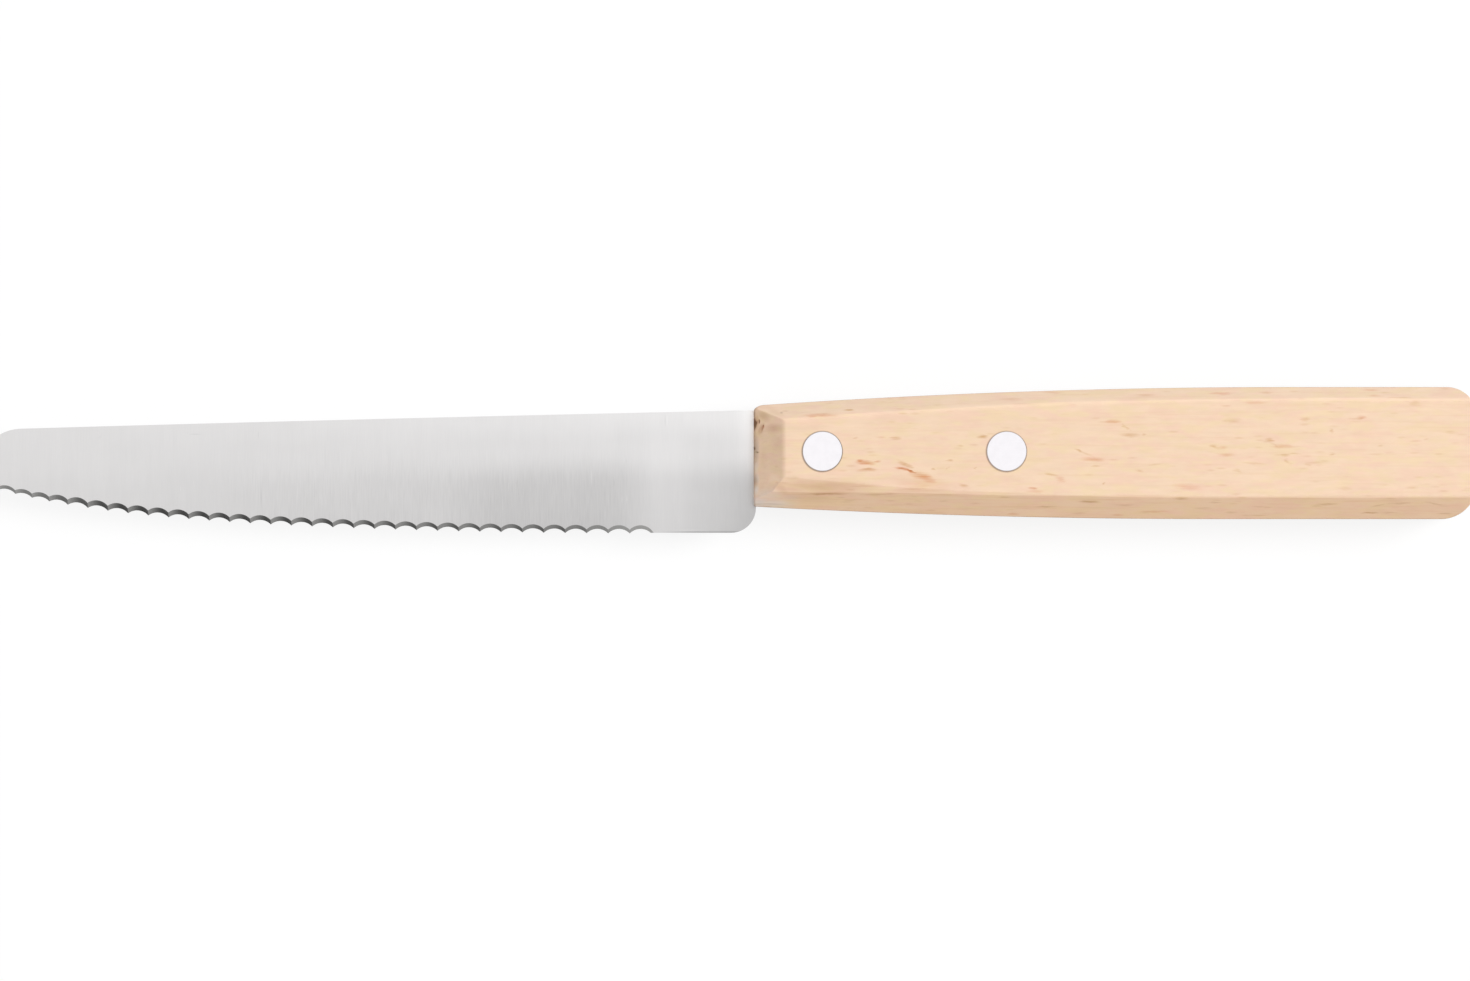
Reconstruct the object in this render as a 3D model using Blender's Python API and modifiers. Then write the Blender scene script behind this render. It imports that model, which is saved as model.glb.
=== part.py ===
"""Serrated table knife with a riveted one-piece wooden handle.

The knife lies on its side. X runs from the tip to the butt, Y points to the spine, and Z points up,
away from the table. Everything is placed from the knife's datum: the middle of the blade's thickness,
at the front face of the handle, level with the middle of the handle's butt.
"""

from math import atan2, cos, pi, radians, sin, sqrt

import bmesh
import bpy
from mathutils import Matrix, Vector

# Driving dimensions, in metres

CLEARANCE = 0.0003              # gap between any two pieces that fit together

BLADE_LENGTH = 0.10959          # handle to tip
BLADE_THICKNESS = 0.0010
HEEL_HEIGHT = 0.0173            # spine to plain edge, at the handle
HEEL_RADIUS = 0.0035            # rounded lower corner at the handle
HEEL_OVERLAP = 0.00031          # how far that corner reaches back under the handle's front
SPINE_DROP = 0.0026             # how far the spine falls from the handle to the nose
SPINE_CROWN = 0.0001            # how far the spine bows out between them
NOSE_RADIUS = 0.00633           # rounding from the spine into the tip
PLAIN_EDGE = 0.01444            # unserrated edge ahead of the handle
TOOTH_REACH = 0.0001            # how far the lowest teeth stand below the plain edge
EDGE_SWEEP = 0.0038             # slow rise of the edge along its whole length
TIP_SWEEP = 0.0033              # quick rise of the edge close to the tip
TIP_SWEEP_POWER = 7             # the higher, the closer to the tip that rise begins

SCALLOP_PITCH = 0.00306         # tooth to tooth, close to the handle
SCALLOP_RADIUS = 0.00215        # hollow of one scallop, seen from the side
PITCH_LOSS = 0.09               # share of the pitch that is slowly lost along the edge
TIP_PITCH_LOSS = 0.15           # share that is lost over a short stretch near the tip
TIP_PITCH_START = 0.835         # where on the serrated edge that stretch begins
TIP_PITCH_RUN = 0.07            # and how much of the edge it takes
GRIND_WIDTH = 0.00064           # width of the ground hollow on the blade's upper face

TANG_LENGTH = 0.0480
TANG_END_RADIUS = 0.0025

HANDLE_LENGTH = 0.10171
HANDLE_HEIGHT = 0.0186          # at the butt
HANDLE_THICKNESS = 0.0120
SPINE_TAPER = 0.00262           # how much lower the handle's spine side is at the front
SPINE_TAPER_LENGTH = 0.0753
BELLY_TAPER = 0.00176           # how much higher its belly side is at the front
BELLY_TAPER_LENGTH = 0.0653
HANDLE_PROUD = 0.00063          # wood above the blade's spine, and above the tang's edges
SPINE_BEVEL_HEIGHT = 0.00175    # long bevels along the spine side, at the butt
SPINE_BEVEL_GROWTH = 0.00065    # how much taller they are at the front
SPINE_BEVEL_SLOPE = 1.05        # their depth for each unit of height
BELLY_BEVEL_HEIGHT = 0.00305    # long bevels along the belly side
BELLY_BEVEL_SLOPE = 0.98
FACET_GROWTH = 0.00135          # softer facets above the belly bevels, tall at the front
FACET_LENGTH = 0.0480           # and run out here
FACET_REST = 0.00012            # what is left of them as an eased edge
FACET_SLOPE = 0.38
FRONT_BEVEL_LENGTH = 0.0043     # bevels on both cheeks, towards the blade
FRONT_BEVEL_DEPTH = 0.0022
BUTT_SPINE_RADIUS = 0.0041
BUTT_BELLY_RADIUS = 0.0048

RIVET_DIAMETER = 0.0056
RIVET_RIM = 0.00012             # broken edge round each rivet's face
RIVET_HEIGHT = 0.00025          # above the datum
RIVETS = {
    "rivet_front": 0.00967,     # distance behind the handle's front face
    "rivet_rear": 0.03560,
}

# How finely the round forms are cut up

SPINE_STEPS = 8
TANG_STEPS = 8
NOSE_STEPS = 12
CORNER_STEPS = 8
SCALLOP_STEPS = 8
HANDLE_STEPS = 14
RIVET_SIDES = 48

# How far a cutter runs past the wood or steel that it cuts

OVERCUT = 0.004

WELD_DISTANCE = 0.000005        # points closer than this become one
SHARP_ANGLE = 15.0              # edges that turn more than this, in degrees, are shaded as sharp


def handle_spine(x):
    """Height of the handle's spine side at a distance behind its front face."""
    return HANDLE_HEIGHT / 2 - SPINE_TAPER * taper(x, SPINE_TAPER_LENGTH)


def handle_belly(x):
    """Height of the handle's belly side at a distance behind its front face."""
    return BELLY_TAPER * taper(x, BELLY_TAPER_LENGTH) - HANDLE_HEIGHT / 2


def taper(x, length):
    """Falls from one at the front to nought where the taper runs out."""
    return max(0.0, 1 - x / length) ** 2


SPINE_HEIGHT = handle_spine(0) - HANDLE_PROUD
PLAIN_HEIGHT = SPINE_HEIGHT - HEEL_HEIGHT
EDGE_HEIGHT = PLAIN_HEIGHT - TOOTH_REACH
SERRATED_LENGTH = BLADE_LENGTH - PLAIN_EDGE
BORE_DIAMETER = RIVET_DIAMETER + 2 * CLEARANCE
KERF_WIDTH = BLADE_THICKNESS + 2 * CLEARANCE

# The datum's place, with the middle of the whole knife over the origin and its lower cheek at Z 0
DATUM = Vector((
    (BLADE_LENGTH - HANDLE_LENGTH) / 2,
    -(HANDLE_HEIGHT / 2 + EDGE_HEIGHT) / 2,
    HANDLE_THICKNESS / 2,
))


def clear_scene():
    for old in list(bpy.data.objects):
        bpy.data.objects.remove(old, do_unlink=True)


def new_collection(name):
    collection = bpy.data.collections.new(name)
    bpy.context.scene.collection.children.link(collection)
    return collection


def new_material(name, colour, metallic, roughness):
    material = bpy.data.materials.new(name)
    material.use_nodes = True
    shader = material.node_tree.nodes["Principled BSDF"]
    shader.inputs["Base Color"].default_value = (*colour, 1.0)
    shader.inputs["Metallic"].default_value = metallic
    shader.inputs["Roughness"].default_value = roughness
    return material


def add_object(name, mesh, collection, datum):
    """An object on the knife's datum."""
    added = bpy.data.objects.new(name, mesh)
    added.parent = datum
    collection.objects.link(added)
    return added


def finish_part(part, material):
    part.data.materials.append(material)
    part.data.shade_smooth()
    part.data.set_sharp_from_angle(angle=radians(SHARP_ANGLE))


def as_cutter(cutter):
    cutter.hide_render = True
    cutter.display_type = "WIRE"


def cut(part, cutter):
    boolean = part.modifiers.new("cut_" + cutter.name, "BOOLEAN")
    boolean.operation = "DIFFERENCE"
    boolean.solver = "EXACT"
    boolean.object = cutter


def arc(centre, radius, start, end, steps):
    """Points of an arc, both ends included, with its angles in radians."""
    points = []
    for step in range(steps + 1):
        angle = start + (end - start) * step / steps
        points.append(centre + radius * Vector((cos(angle), sin(angle))))
    return points


def plate(name, outline, thickness, collection, datum):
    """A flat outline in its own XY plane, given thickness to both sides of it."""
    curve = bpy.data.curves.new(name + "_outline", "CURVE")
    curve.dimensions = "2D"
    curve.fill_mode = "BOTH"
    curve.extrude = thickness / 2
    spline = curve.splines.new("POLY")
    spline.points.add(len(outline) - 1)
    for point, (x, y) in zip(spline.points, outline):
        point.co = (x, y, 0.0, 1.0)
    spline.use_cyclic_u = True
    outline_object = bpy.data.objects.new(name + "_outline", curve)
    collection.objects.link(outline_object)
    evaluated = outline_object.evaluated_get(bpy.context.evaluated_depsgraph_get())
    mesh = bpy.data.meshes.new_from_object(evaluated)
    mesh.name = name
    weld_and_face_out(mesh)
    bpy.data.objects.remove(outline_object, do_unlink=True)
    return add_object(name, mesh, collection, datum)


def weld_and_face_out(mesh):
    shape = bmesh.new()
    shape.from_mesh(mesh)
    bmesh.ops.remove_doubles(shape, verts=shape.verts, dist=WELD_DISTANCE)
    bmesh.ops.recalc_face_normals(shape, faces=shape.faces)
    shape.to_mesh(mesh)
    shape.free()


def rod(name, diameter, length, place, collection, datum):
    """An upright cylinder whose middle is at a place on the datum."""
    bpy.ops.mesh.primitive_cylinder_add(vertices=RIVET_SIDES, radius=diameter / 2, depth=length)
    added = bpy.context.object
    added.name = name
    added.data.name = name
    for home in list(added.users_collection):
        home.objects.unlink(added)
    collection.objects.link(added)
    added.parent = datum
    added.location = place
    return added


def spine_height(x):
    """Height of the blade's spine at a distance ahead of the handle."""
    share = x / (BLADE_LENGTH - NOSE_RADIUS)
    return SPINE_HEIGHT - SPINE_DROP * share + 4 * SPINE_CROWN * share * (1 - share)


def spine_points():
    """The spine from the handle to where the nose begins."""
    nose_start = BLADE_LENGTH - NOSE_RADIUS
    distances = [nose_start * step / SPINE_STEPS for step in range(SPINE_STEPS)]
    return [Vector((-x, spine_height(x))) for x in distances]


def nose_points():
    centre = Vector((NOSE_RADIUS - BLADE_LENGTH, spine_height(BLADE_LENGTH - NOSE_RADIUS) - NOSE_RADIUS))
    return arc(centre, NOSE_RADIUS, pi / 2, pi, NOSE_STEPS)


def heel_points():
    """The plain edge's end and the rounded corner under the handle."""
    centre = Vector((HEEL_OVERLAP - HEEL_RADIUS, PLAIN_HEIGHT + HEEL_RADIUS))
    return arc(centre, HEEL_RADIUS, -pi / 2, 0.0, CORNER_STEPS)


def tang_points():
    """The tang, from the blade's lower edge round its end and back to the spine."""
    end = TANG_LENGTH
    radius = TANG_END_RADIUS
    low_end = handle_belly(end) + HANDLE_PROUD
    high_end = handle_spine(end) - HANDLE_PROUD
    stations = [(end - radius) * step / TANG_STEPS for step in range(TANG_STEPS)]
    lower = [Vector((max(x, HEEL_OVERLAP), handle_belly(x) + HANDLE_PROUD)) for x in stations]
    upper = [Vector((x, handle_spine(x) - HANDLE_PROUD)) for x in reversed(stations[1:])]
    low_corner = arc(Vector((end - radius, low_end + radius)), radius, -pi / 2, 0.0, CORNER_STEPS)
    high_corner = arc(Vector((end - radius, high_end - radius)), radius, 0.0, pi / 2, CORNER_STEPS)
    return lower + low_corner + high_corner + upper


def blade_outline():
    """The blade and tang before the edge is ground, square below the nose.

    The step up to the plain edge lies inside the first hollow, which takes it away.
    """
    step = -PLAIN_EDGE - SCALLOP_PITCH / 2
    unground = [
        Vector((-BLADE_LENGTH, EDGE_HEIGHT)),
        Vector((step, EDGE_HEIGHT)),
        Vector((step, PLAIN_HEIGHT)),
    ]
    return spine_points() + nose_points() + unground + heel_points() + tang_points()


def serrated_share(x):
    """Nought where the serration starts, one at the tip."""
    return (-x - PLAIN_EDGE) / SERRATED_LENGTH


def edge_rise(x):
    """How far the line of the teeth has risen from the lowest tooth."""
    share = serrated_share(x)
    return EDGE_SWEEP * share**2 + TIP_SWEEP * share**TIP_SWEEP_POWER


def tooth_pitch(x):
    """The distance from one tooth to the next, shorter near the tip."""
    share = serrated_share(x)
    near_tip = min(1.0, max(0.0, (share - TIP_PITCH_START) / TIP_PITCH_RUN))
    return SCALLOP_PITCH * (1 - PITCH_LOSS * share - TIP_PITCH_LOSS * near_tip)


def teeth():
    """Tooth points from the plain edge to past the tip, measured from the lowest tooth's height."""
    x = -PLAIN_EDGE
    points = [Vector((x, 0.0))]
    while x > -BLADE_LENGTH - SCALLOP_PITCH / 2:
        x -= tooth_pitch(x)
        points.append(Vector((x, edge_rise(x))))
    return points


def scallop(start, end, run_out):
    """One hollow between two tooth points, its far end left to the next one."""
    half = (end - start) / 2
    reach = sqrt(SCALLOP_RADIUS**2 - half.length_squared)
    centre = start + half + half.orthogonal().normalized() * reach
    first = 0.0 if run_out else atan2(start.y - centre.y, start.x - centre.x)
    last = atan2(end.y - centre.y, end.x - centre.x)
    return arc(centre, SCALLOP_RADIUS, first, last, SCALLOP_STEPS)[:-1]


def grind_outline():
    """The grinding wheel's scalloped profile, as it leaves the blade's lower face."""
    points = teeth()
    profile = []
    for number, (start, end) in enumerate(zip(points, points[1:])):
        profile += scallop(start, end, run_out=number == 0)
    profile.append(points[-1])
    depth = SCALLOP_RADIUS + OVERCUT
    profile.append(Vector((points[-1].x, -depth)))
    profile.append(Vector((profile[0].x, -depth)))
    return profile


def make_grind(cutters, datum):
    """The leaning wheel that cuts the scallops and their hollows from the upper face."""
    thickness = BLADE_THICKNESS + 2 * OVERCUT
    grind = plate("scallop_grind", grind_outline(), thickness, cutters, datum)
    lean = (0.0, GRIND_WIDTH / BLADE_THICKNESS)
    grind.data.transform(Matrix.Shear("XY", 4, lean))
    grind.location = (0.0, EDGE_HEIGHT, -BLADE_THICKNESS / 2)
    as_cutter(grind)
    return grind


def make_blade(parts, cutters, datum, bores):
    blade = plate("blade", blade_outline(), BLADE_THICKNESS, parts, datum)
    cut(blade, make_grind(cutters, datum))
    for bore in bores:
        cut(blade, bore)
    steel = new_material("brushed_steel", (0.72, 0.71, 0.70), 1.0, 0.34)
    finish_part(blade, steel)


def handle_section(x):
    """The ten corners of the handle's section, in order round it, as heights and depths."""
    high = handle_spine(x)
    low = handle_belly(x)
    cheek = HANDLE_THICKNESS / 2
    spine_bevel = SPINE_BEVEL_HEIGHT + SPINE_BEVEL_GROWTH * taper(x, SPINE_TAPER_LENGTH)
    belly_depth = BELLY_BEVEL_SLOPE * BELLY_BEVEL_HEIGHT
    facet_top = BELLY_BEVEL_HEIGHT + FACET_REST + FACET_GROWTH * taper(x, FACET_LENGTH)
    facet_foot = (belly_depth - FACET_SLOPE * facet_top) / (BELLY_BEVEL_SLOPE - FACET_SLOPE)
    upper = [
        (low, cheek - belly_depth),
        (low + facet_foot, cheek - FACET_SLOPE * (facet_top - facet_foot)),
        (low + facet_top, cheek),
        (high - spine_bevel, cheek),
        (high, cheek - SPINE_BEVEL_SLOPE * spine_bevel),
    ]
    lower = [(y, -z) for y, z in reversed(upper)]
    return upper + lower


def loft(name, stations, collection, datum):
    """A closed bar through the handle's sections at the given distances."""
    shape = bmesh.new()
    rings = []
    for x in stations:
        rings.append([shape.verts.new((x, y, z)) for y, z in handle_section(x)])
    for ring, following in zip(rings, rings[1:]):
        for corner in range(len(ring)):
            neighbour = (corner + 1) % len(ring)
            shape.faces.new((ring[corner], following[corner], following[neighbour], ring[neighbour]))
    shape.faces.new(rings[0])
    shape.faces.new(reversed(rings[-1]))
    bmesh.ops.recalc_face_normals(shape, faces=shape.faces)
    mesh = bpy.data.meshes.new(name)
    shape.to_mesh(mesh)
    shape.free()
    return add_object(name, mesh, collection, datum)


def make_front_bevel(name, side, cutters, datum):
    """A wedge that slopes one cheek down towards the blade. The side is 1 or -1 along Z."""
    slope = FRONT_BEVEL_DEPTH / FRONT_BEVEL_LENGTH
    cheek = HANDLE_THICKNESS / 2
    outer = cheek + OVERCUT * slope
    outline = [
        (-OVERCUT, side * (cheek - FRONT_BEVEL_DEPTH - OVERCUT * slope)),
        (FRONT_BEVEL_LENGTH + OVERCUT, side * outer),
        (-OVERCUT, side * outer),
    ]
    wedge = plate(name, outline, HANDLE_HEIGHT + 2 * OVERCUT, cutters, datum)
    wedge.rotation_euler = (radians(90), 0.0, 0.0)
    as_cutter(wedge)
    return wedge


def make_butt_corner(name, radius, side, cutters, datum):
    """What lies outside one rounded corner of the butt. The side is 1 or -1 along Y."""
    end = HANDLE_LENGTH
    edge = HANDLE_HEIGHT / 2
    round_corner = arc(Vector((end - radius, edge - radius)), radius, 0.0, pi / 2, CORNER_STEPS)
    beyond = [(end - radius, edge + OVERCUT), (end + OVERCUT, edge + OVERCUT), (end + OVERCUT, edge - radius)]
    outline = [(x, side * y) for x, y in [*round_corner, *beyond]]
    corner = plate(name, outline, HANDLE_THICKNESS + 2 * OVERCUT, cutters, datum)
    as_cutter(corner)
    return corner


def make_kerf(cutters, datum):
    """The saw cut that takes the tang, open at the front, the spine and the belly."""
    front = -OVERCUT
    end = TANG_LENGTH + CLEARANCE
    half = HANDLE_HEIGHT / 2 + OVERCUT
    outline = [(front, -half), (end, -half), (end, half), (front, half)]
    kerf = plate("kerf", outline, KERF_WIDTH, cutters, datum)
    as_cutter(kerf)
    return kerf


def make_handle(parts, cutters, datum, bores):
    taper_end = max(SPINE_TAPER_LENGTH, BELLY_TAPER_LENGTH)
    stations = [taper_end * step / HANDLE_STEPS for step in range(HANDLE_STEPS + 1)]
    stations = [x for x in stations if x < HANDLE_LENGTH - OVERCUT] + [HANDLE_LENGTH]
    handle = loft("handle", stations, parts, datum)
    cut(handle, make_front_bevel("front_bevel_upper", 1, cutters, datum))
    cut(handle, make_front_bevel("front_bevel_lower", -1, cutters, datum))
    cut(handle, make_butt_corner("butt_corner_spine", BUTT_SPINE_RADIUS, 1, cutters, datum))
    cut(handle, make_butt_corner("butt_corner_belly", BUTT_BELLY_RADIUS, -1, cutters, datum))
    cut(handle, make_kerf(cutters, datum))
    for bore in bores:
        cut(handle, bore)
    beech = new_material("beech", (0.87, 0.64, 0.43), 0.0, 0.55)
    finish_part(handle, beech)


def make_bores(cutters, datum):
    """The holes for the rivets, through both cheeks and the tang."""
    bores = []
    for name, x in RIVETS.items():
        length = HANDLE_THICKNESS + 2 * OVERCUT
        bore = rod(name + "_bore", BORE_DIAMETER, length, (x, RIVET_HEIGHT, 0.0), cutters, datum)
        as_cutter(bore)
        bores.append(bore)
    return bores


def make_rivets(parts, datum):
    aluminium = new_material("aluminium", (0.90, 0.90, 0.91), 1.0, 0.30)
    for name, x in RIVETS.items():
        rivet = rod(name, RIVET_DIAMETER, HANDLE_THICKNESS, (x, RIVET_HEIGHT, 0.0), parts, datum)
        rim = rivet.modifiers.new("rim", "BEVEL")
        rim.width = RIVET_RIM
        rim.limit_method = "ANGLE"
        finish_part(rivet, aluminium)


def make_knife():
    clear_scene()
    parts = new_collection("serrated_table_knife")
    cutters = new_collection("cutters")
    datum = bpy.data.objects.new("knife_datum", None)
    datum.location = DATUM
    parts.objects.link(datum)
    bores = make_bores(cutters, datum)
    make_blade(parts, cutters, datum, bores)
    make_handle(parts, cutters, datum, bores)
    make_rivets(parts, datum)


make_knife()
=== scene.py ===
# %% [markdown]
# # A serrated table knife, dressed for its portrait
# The knife is a sheet-steel blade whose half tang sits in a sawn slot in a beech handle, held by two
# aluminium rivets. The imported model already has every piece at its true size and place.
# Here each piece is made again with finer forms, and gets a finish that is painted by nodes alone.

from math import acos, asin, atan2, cos, pi, radians, sin, sqrt

import bmesh
import bpy
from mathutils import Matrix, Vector, noise


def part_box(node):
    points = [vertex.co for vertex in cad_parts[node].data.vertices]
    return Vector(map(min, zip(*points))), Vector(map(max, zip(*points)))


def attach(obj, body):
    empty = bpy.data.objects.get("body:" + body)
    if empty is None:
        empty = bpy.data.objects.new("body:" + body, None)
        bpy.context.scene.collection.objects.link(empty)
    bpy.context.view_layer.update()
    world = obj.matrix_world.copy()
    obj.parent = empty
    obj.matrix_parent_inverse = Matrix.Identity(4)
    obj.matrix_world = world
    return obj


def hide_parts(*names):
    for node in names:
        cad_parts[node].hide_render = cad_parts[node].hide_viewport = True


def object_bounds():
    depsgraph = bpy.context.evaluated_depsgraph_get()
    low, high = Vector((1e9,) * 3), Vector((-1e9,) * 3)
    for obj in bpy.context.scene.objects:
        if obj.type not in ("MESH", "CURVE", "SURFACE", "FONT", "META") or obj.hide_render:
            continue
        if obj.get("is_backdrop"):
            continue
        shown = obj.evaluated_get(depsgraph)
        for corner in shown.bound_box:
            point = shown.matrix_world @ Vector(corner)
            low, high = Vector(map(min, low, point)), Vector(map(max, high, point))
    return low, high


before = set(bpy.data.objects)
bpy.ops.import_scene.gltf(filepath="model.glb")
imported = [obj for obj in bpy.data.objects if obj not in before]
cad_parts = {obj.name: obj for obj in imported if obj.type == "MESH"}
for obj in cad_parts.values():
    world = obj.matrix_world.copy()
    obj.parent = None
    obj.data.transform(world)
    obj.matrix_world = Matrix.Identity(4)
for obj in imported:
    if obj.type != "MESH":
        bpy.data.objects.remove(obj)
cad_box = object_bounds()
print("nodes:", ", ".join(sorted(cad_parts)))
print("size in mm:", [round((high - low) * 1000, 2) for low, high in zip(*cad_box)])

# %% [markdown]
# ## One place to measure from
# A knife maker measures from the handle's front face, where wood and steel meet. The same place serves
# here: the middle of the blade's thickness, at that face, level with the middle of the butt. It is worked
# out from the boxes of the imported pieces, so that the new pieces follow if the model changes. Sizes below
# are in millimetres, and only the finished meshes are brought to metres.

# %% Find the datum and the main sizes
MM = 0.001

handle_low, handle_high = (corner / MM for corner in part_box("handle"))
blade_low, blade_high = (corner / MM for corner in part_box("blade"))

HANDLE_LENGTH, HANDLE_HEIGHT, HANDLE_THICKNESS = handle_high - handle_low
BLADE_LENGTH = handle_low.x - blade_low.x
BLADE_THICKNESS = blade_high.z - blade_low.z
CHEEK = HANDLE_THICKNESS / 2
DATUM = Vector((
    handle_low.x,
    (handle_low.y + handle_high.y) / 2,
    (handle_low.z + handle_high.z) / 2,
))
EDGE_HEIGHT = blade_low.y - DATUM.y
print("datum in mm:", [round(value, 3) for value in DATUM])
print("blade", round(BLADE_LENGTH, 2), "long,", round(BLADE_THICKNESS, 2), "thick, its edge at",
      round(EDGE_HEIGHT, 2))

# %% [markdown]
# ## The camera
# The knife was photographed from straight above through a long lens, so close that its tip and its butt
# run out of the picture. A long lens far away keeps every upright edge hidden, as it is there.
# Its distance comes from the width that the picture covers at the height of the handle's cheek.

# %% Set up the camera
PICTURE_WIDTH = 206.8           # what the picture covers, level with the upper cheek
CAMERA_LENS = 300.0
SENSOR_WIDTH = 36.0
CAMERA_AHEAD = 1.30             # the picture's middle, to the right of the knife's own
CAMERA_BELOW = 4.25             # and towards the cutting edge

camera_data = bpy.data.cameras.new("camera")
camera_data.lens = CAMERA_LENS
camera_data.sensor_width = SENSOR_WIDTH
camera_distance = PICTURE_WIDTH * CAMERA_LENS / SENSOR_WIDTH
camera = bpy.data.objects.new("camera", camera_data)
camera.location = Vector((CAMERA_AHEAD, -CAMERA_BELOW, HANDLE_THICKNESS + camera_distance)) * MM
bpy.context.scene.collection.objects.link(camera)
bpy.context.scene.camera = camera
print("camera", round(camera_distance), "mm above the knife")

# %% [markdown]
# ## Wiring nodes with short helpers
# A finish is a graph of nodes. Making each node takes several lines, so helpers do it: one adds any node
# and joins its sockets, and the others stand on that one and each do one kind of arithmetic. A socket that
# is handed over is linked, and anything else is set as the socket's own value.

# %% Helpers that add and join nodes
def wire(tree, kind, sockets, output=0, **settings):
    """Adds a node with its settings, feeds its sockets, and hands back one of its outputs."""
    node = tree.nodes.new(kind)
    for setting, value in settings.items():
        setattr(node, setting, value)
    for socket, value in sockets.items():
        if isinstance(value, bpy.types.NodeSocket):
            tree.links.new(value, node.inputs[socket])
        else:
            node.inputs[socket].default_value = value
    return node.outputs[output]


def sums(tree, operation, *values, clamp=False):
    """One step of arithmetic on single values."""
    return wire(tree, "ShaderNodeMath", dict(enumerate(values)), operation=operation, use_clamp=clamp)


def product(tree, *values):
    """Values multiplied together."""
    result = values[0]
    for value in values[1:]:
        result = sums(tree, "MULTIPLY", result, value)
    return result


def add_up(tree, value, changes):
    """A value with each change added: a change is a share, and the amount that a full share adds."""
    for share, amount in changes:
        value = sums(tree, "MULTIPLY_ADD", share, amount, value)
    return value


def between(tree, value, start, end, low=0.0, high=1.0, path="SMOOTHSTEP"):
    """Takes a value's way from start to end and turns it into a way from low to high."""
    sockets = {"Value": value, "From Min": start, "From Max": end, "To Min": low, "To Max": high}
    return wire(tree, "ShaderNodeMapRange", sockets, interpolation_type=path)


def evenly(tree, value, *ends):
    """The same, in a straight line instead of with a soft start and stop."""
    return between(tree, value, *ends, path="LINEAR")


# %% [markdown]
# Places and colours are three values at once, and have helpers of their own.

# %% Helpers for places and colours
def vectors(tree, operation, *values, output=0):
    """One step of arithmetic on places or colours."""
    return wire(tree, "ShaderNodeVectorMath", dict(enumerate(values)), output, operation=operation)


def scaled(tree, vector, scale):
    """A place or a colour times one value."""
    return wire(tree, "ShaderNodeVectorMath", {0: vector, "Scale": scale}, operation="SCALE")


def split(tree, vector):
    """The x, y and z of a place or a direction."""
    return wire(tree, "ShaderNodeSeparateXYZ", {0: vector}).node.outputs


def chosen(tree, share, first, second):
    """A single value on its way from the first to the second."""
    return wire(tree, "ShaderNodeMix", {0: share, 2: first, 3: second}, data_type="FLOAT")


def mixed(tree, share, first, second, mode="MIX"):
    """Mixes two colours by a share from nought to one."""
    return wire(tree, "ShaderNodeMix", {0: share, 6: first, 7: second}, output=2,
                data_type="RGBA", blend_type=mode)


def toned(tree, tone, tint):
    """The grey of a tone, multiplied by a tint."""
    grey = wire(tree, "ShaderNodeCombineXYZ", {0: tone, 1: tone, 2: tone})
    return mixed(tree, 1.0, grey, tint, "MULTIPLY")


def tinted(tree, colour, layers):
    """The colour multiplied by the tint of each layer in turn, as far as the layer's share says."""
    for share, tint in layers:
        colour = mixed(tree, share, colour, mixed(tree, 1.0, colour, tint, "MULTIPLY"))
    return colour


# %% [markdown]
# Wood and brushed metal are both stretched noise: features that are long one way and short the other. Each
# finish lists its noises in a table, gets them by name, and ends with the same few links to the shader.

# %% Helpers for noise and for a whole finish
def stretched_noise(tree, place, stretch, detail, rough, lift=(0.0, 0.0, 0.0)):
    """Noise with features as long as the stretch, in millimetres on each axis, read away by the lift."""
    moved = vectors(tree, "ADD", vectors(tree, "DIVIDE", place, stretch), lift)
    return wire(tree, "ShaderNodeTexNoise",
                {"Vector": moved, "Scale": 1.0, "Detail": detail, "Roughness": rough})


def noises(tree, place, table):
    """A stretched noise for each row of a table, by the row's name."""
    return {name: stretched_noise(tree, place, *row) for name, row in table.items()}


def new_finish(name):
    """An empty material with its shader, and the place on the knife in millimetres from the datum."""
    material = bpy.data.materials.new(name)
    material.use_nodes = True
    tree = material.node_tree
    shader = tree.nodes["Principled BSDF"]
    metres = wire(tree, "ShaderNodeTexCoord", {}, output="Object")
    return material, tree, shader, scaled(tree, metres, 1 / MM)


def surface_direction(tree):
    """Which way the surface faces, as x, y and z of the piece."""
    return split(tree, wire(tree, "ShaderNodeTexCoord", {}, output="Normal"))


def end_finish(tree, shader, colour, roughness, metallic, relief, height):
    """Joins colour, roughness and a relief, of a strength and a depth in millimetres, to the shader."""
    strength, depth = relief
    bump = wire(tree, "ShaderNodeBump", {"Strength": strength, "Distance": depth * MM, "Height": height})
    for value, socket in ((colour, "Base Color"), (roughness, "Roughness"), (bump, "Normal")):
        tree.links.new(value, shader.inputs[socket])
    shader.inputs["Metallic"].default_value = metallic


print("helpers for nodes are ready")

# %% [markdown]
# ## The studio
# The photograph is a cut-out on pure white, lit softly from the handle's end and a little from the spine
# side: the bevels that turn away from there are darker. One wide lamp does that, and the world fills the
# rest at about half strength. The floor and the world are white only to the camera and to reflections, so
# the white never adds light to the knife, and the floor still carries its soft shadow. The lamp itself is
# kept out of reflections: on steel it would be a glaring patch from some sides, and it isn't in the
# photograph.

# %% Lay the floor, light the world and hang the lamp
WHITE = (1.0, 1.0, 1.0, 1.0)
FLOOR_SIZE = 3000.0
FLOOR_GAP = 0.05                # keeps the floor just clear of the cheek that rests on it
FLOOR_COLOUR = (0.18, 0.18, 0.18, 1.0)
FLOOR_GLOW = 0.84
WORLD_FILL = 0.50
LAMP_DIRECTION = Vector((0.727, 0.194, 0.658))
LAMP_DISTANCE = 2500.0
LAMP_SIZE = 1150.0
LAMP_POWER = 45.8


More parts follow.
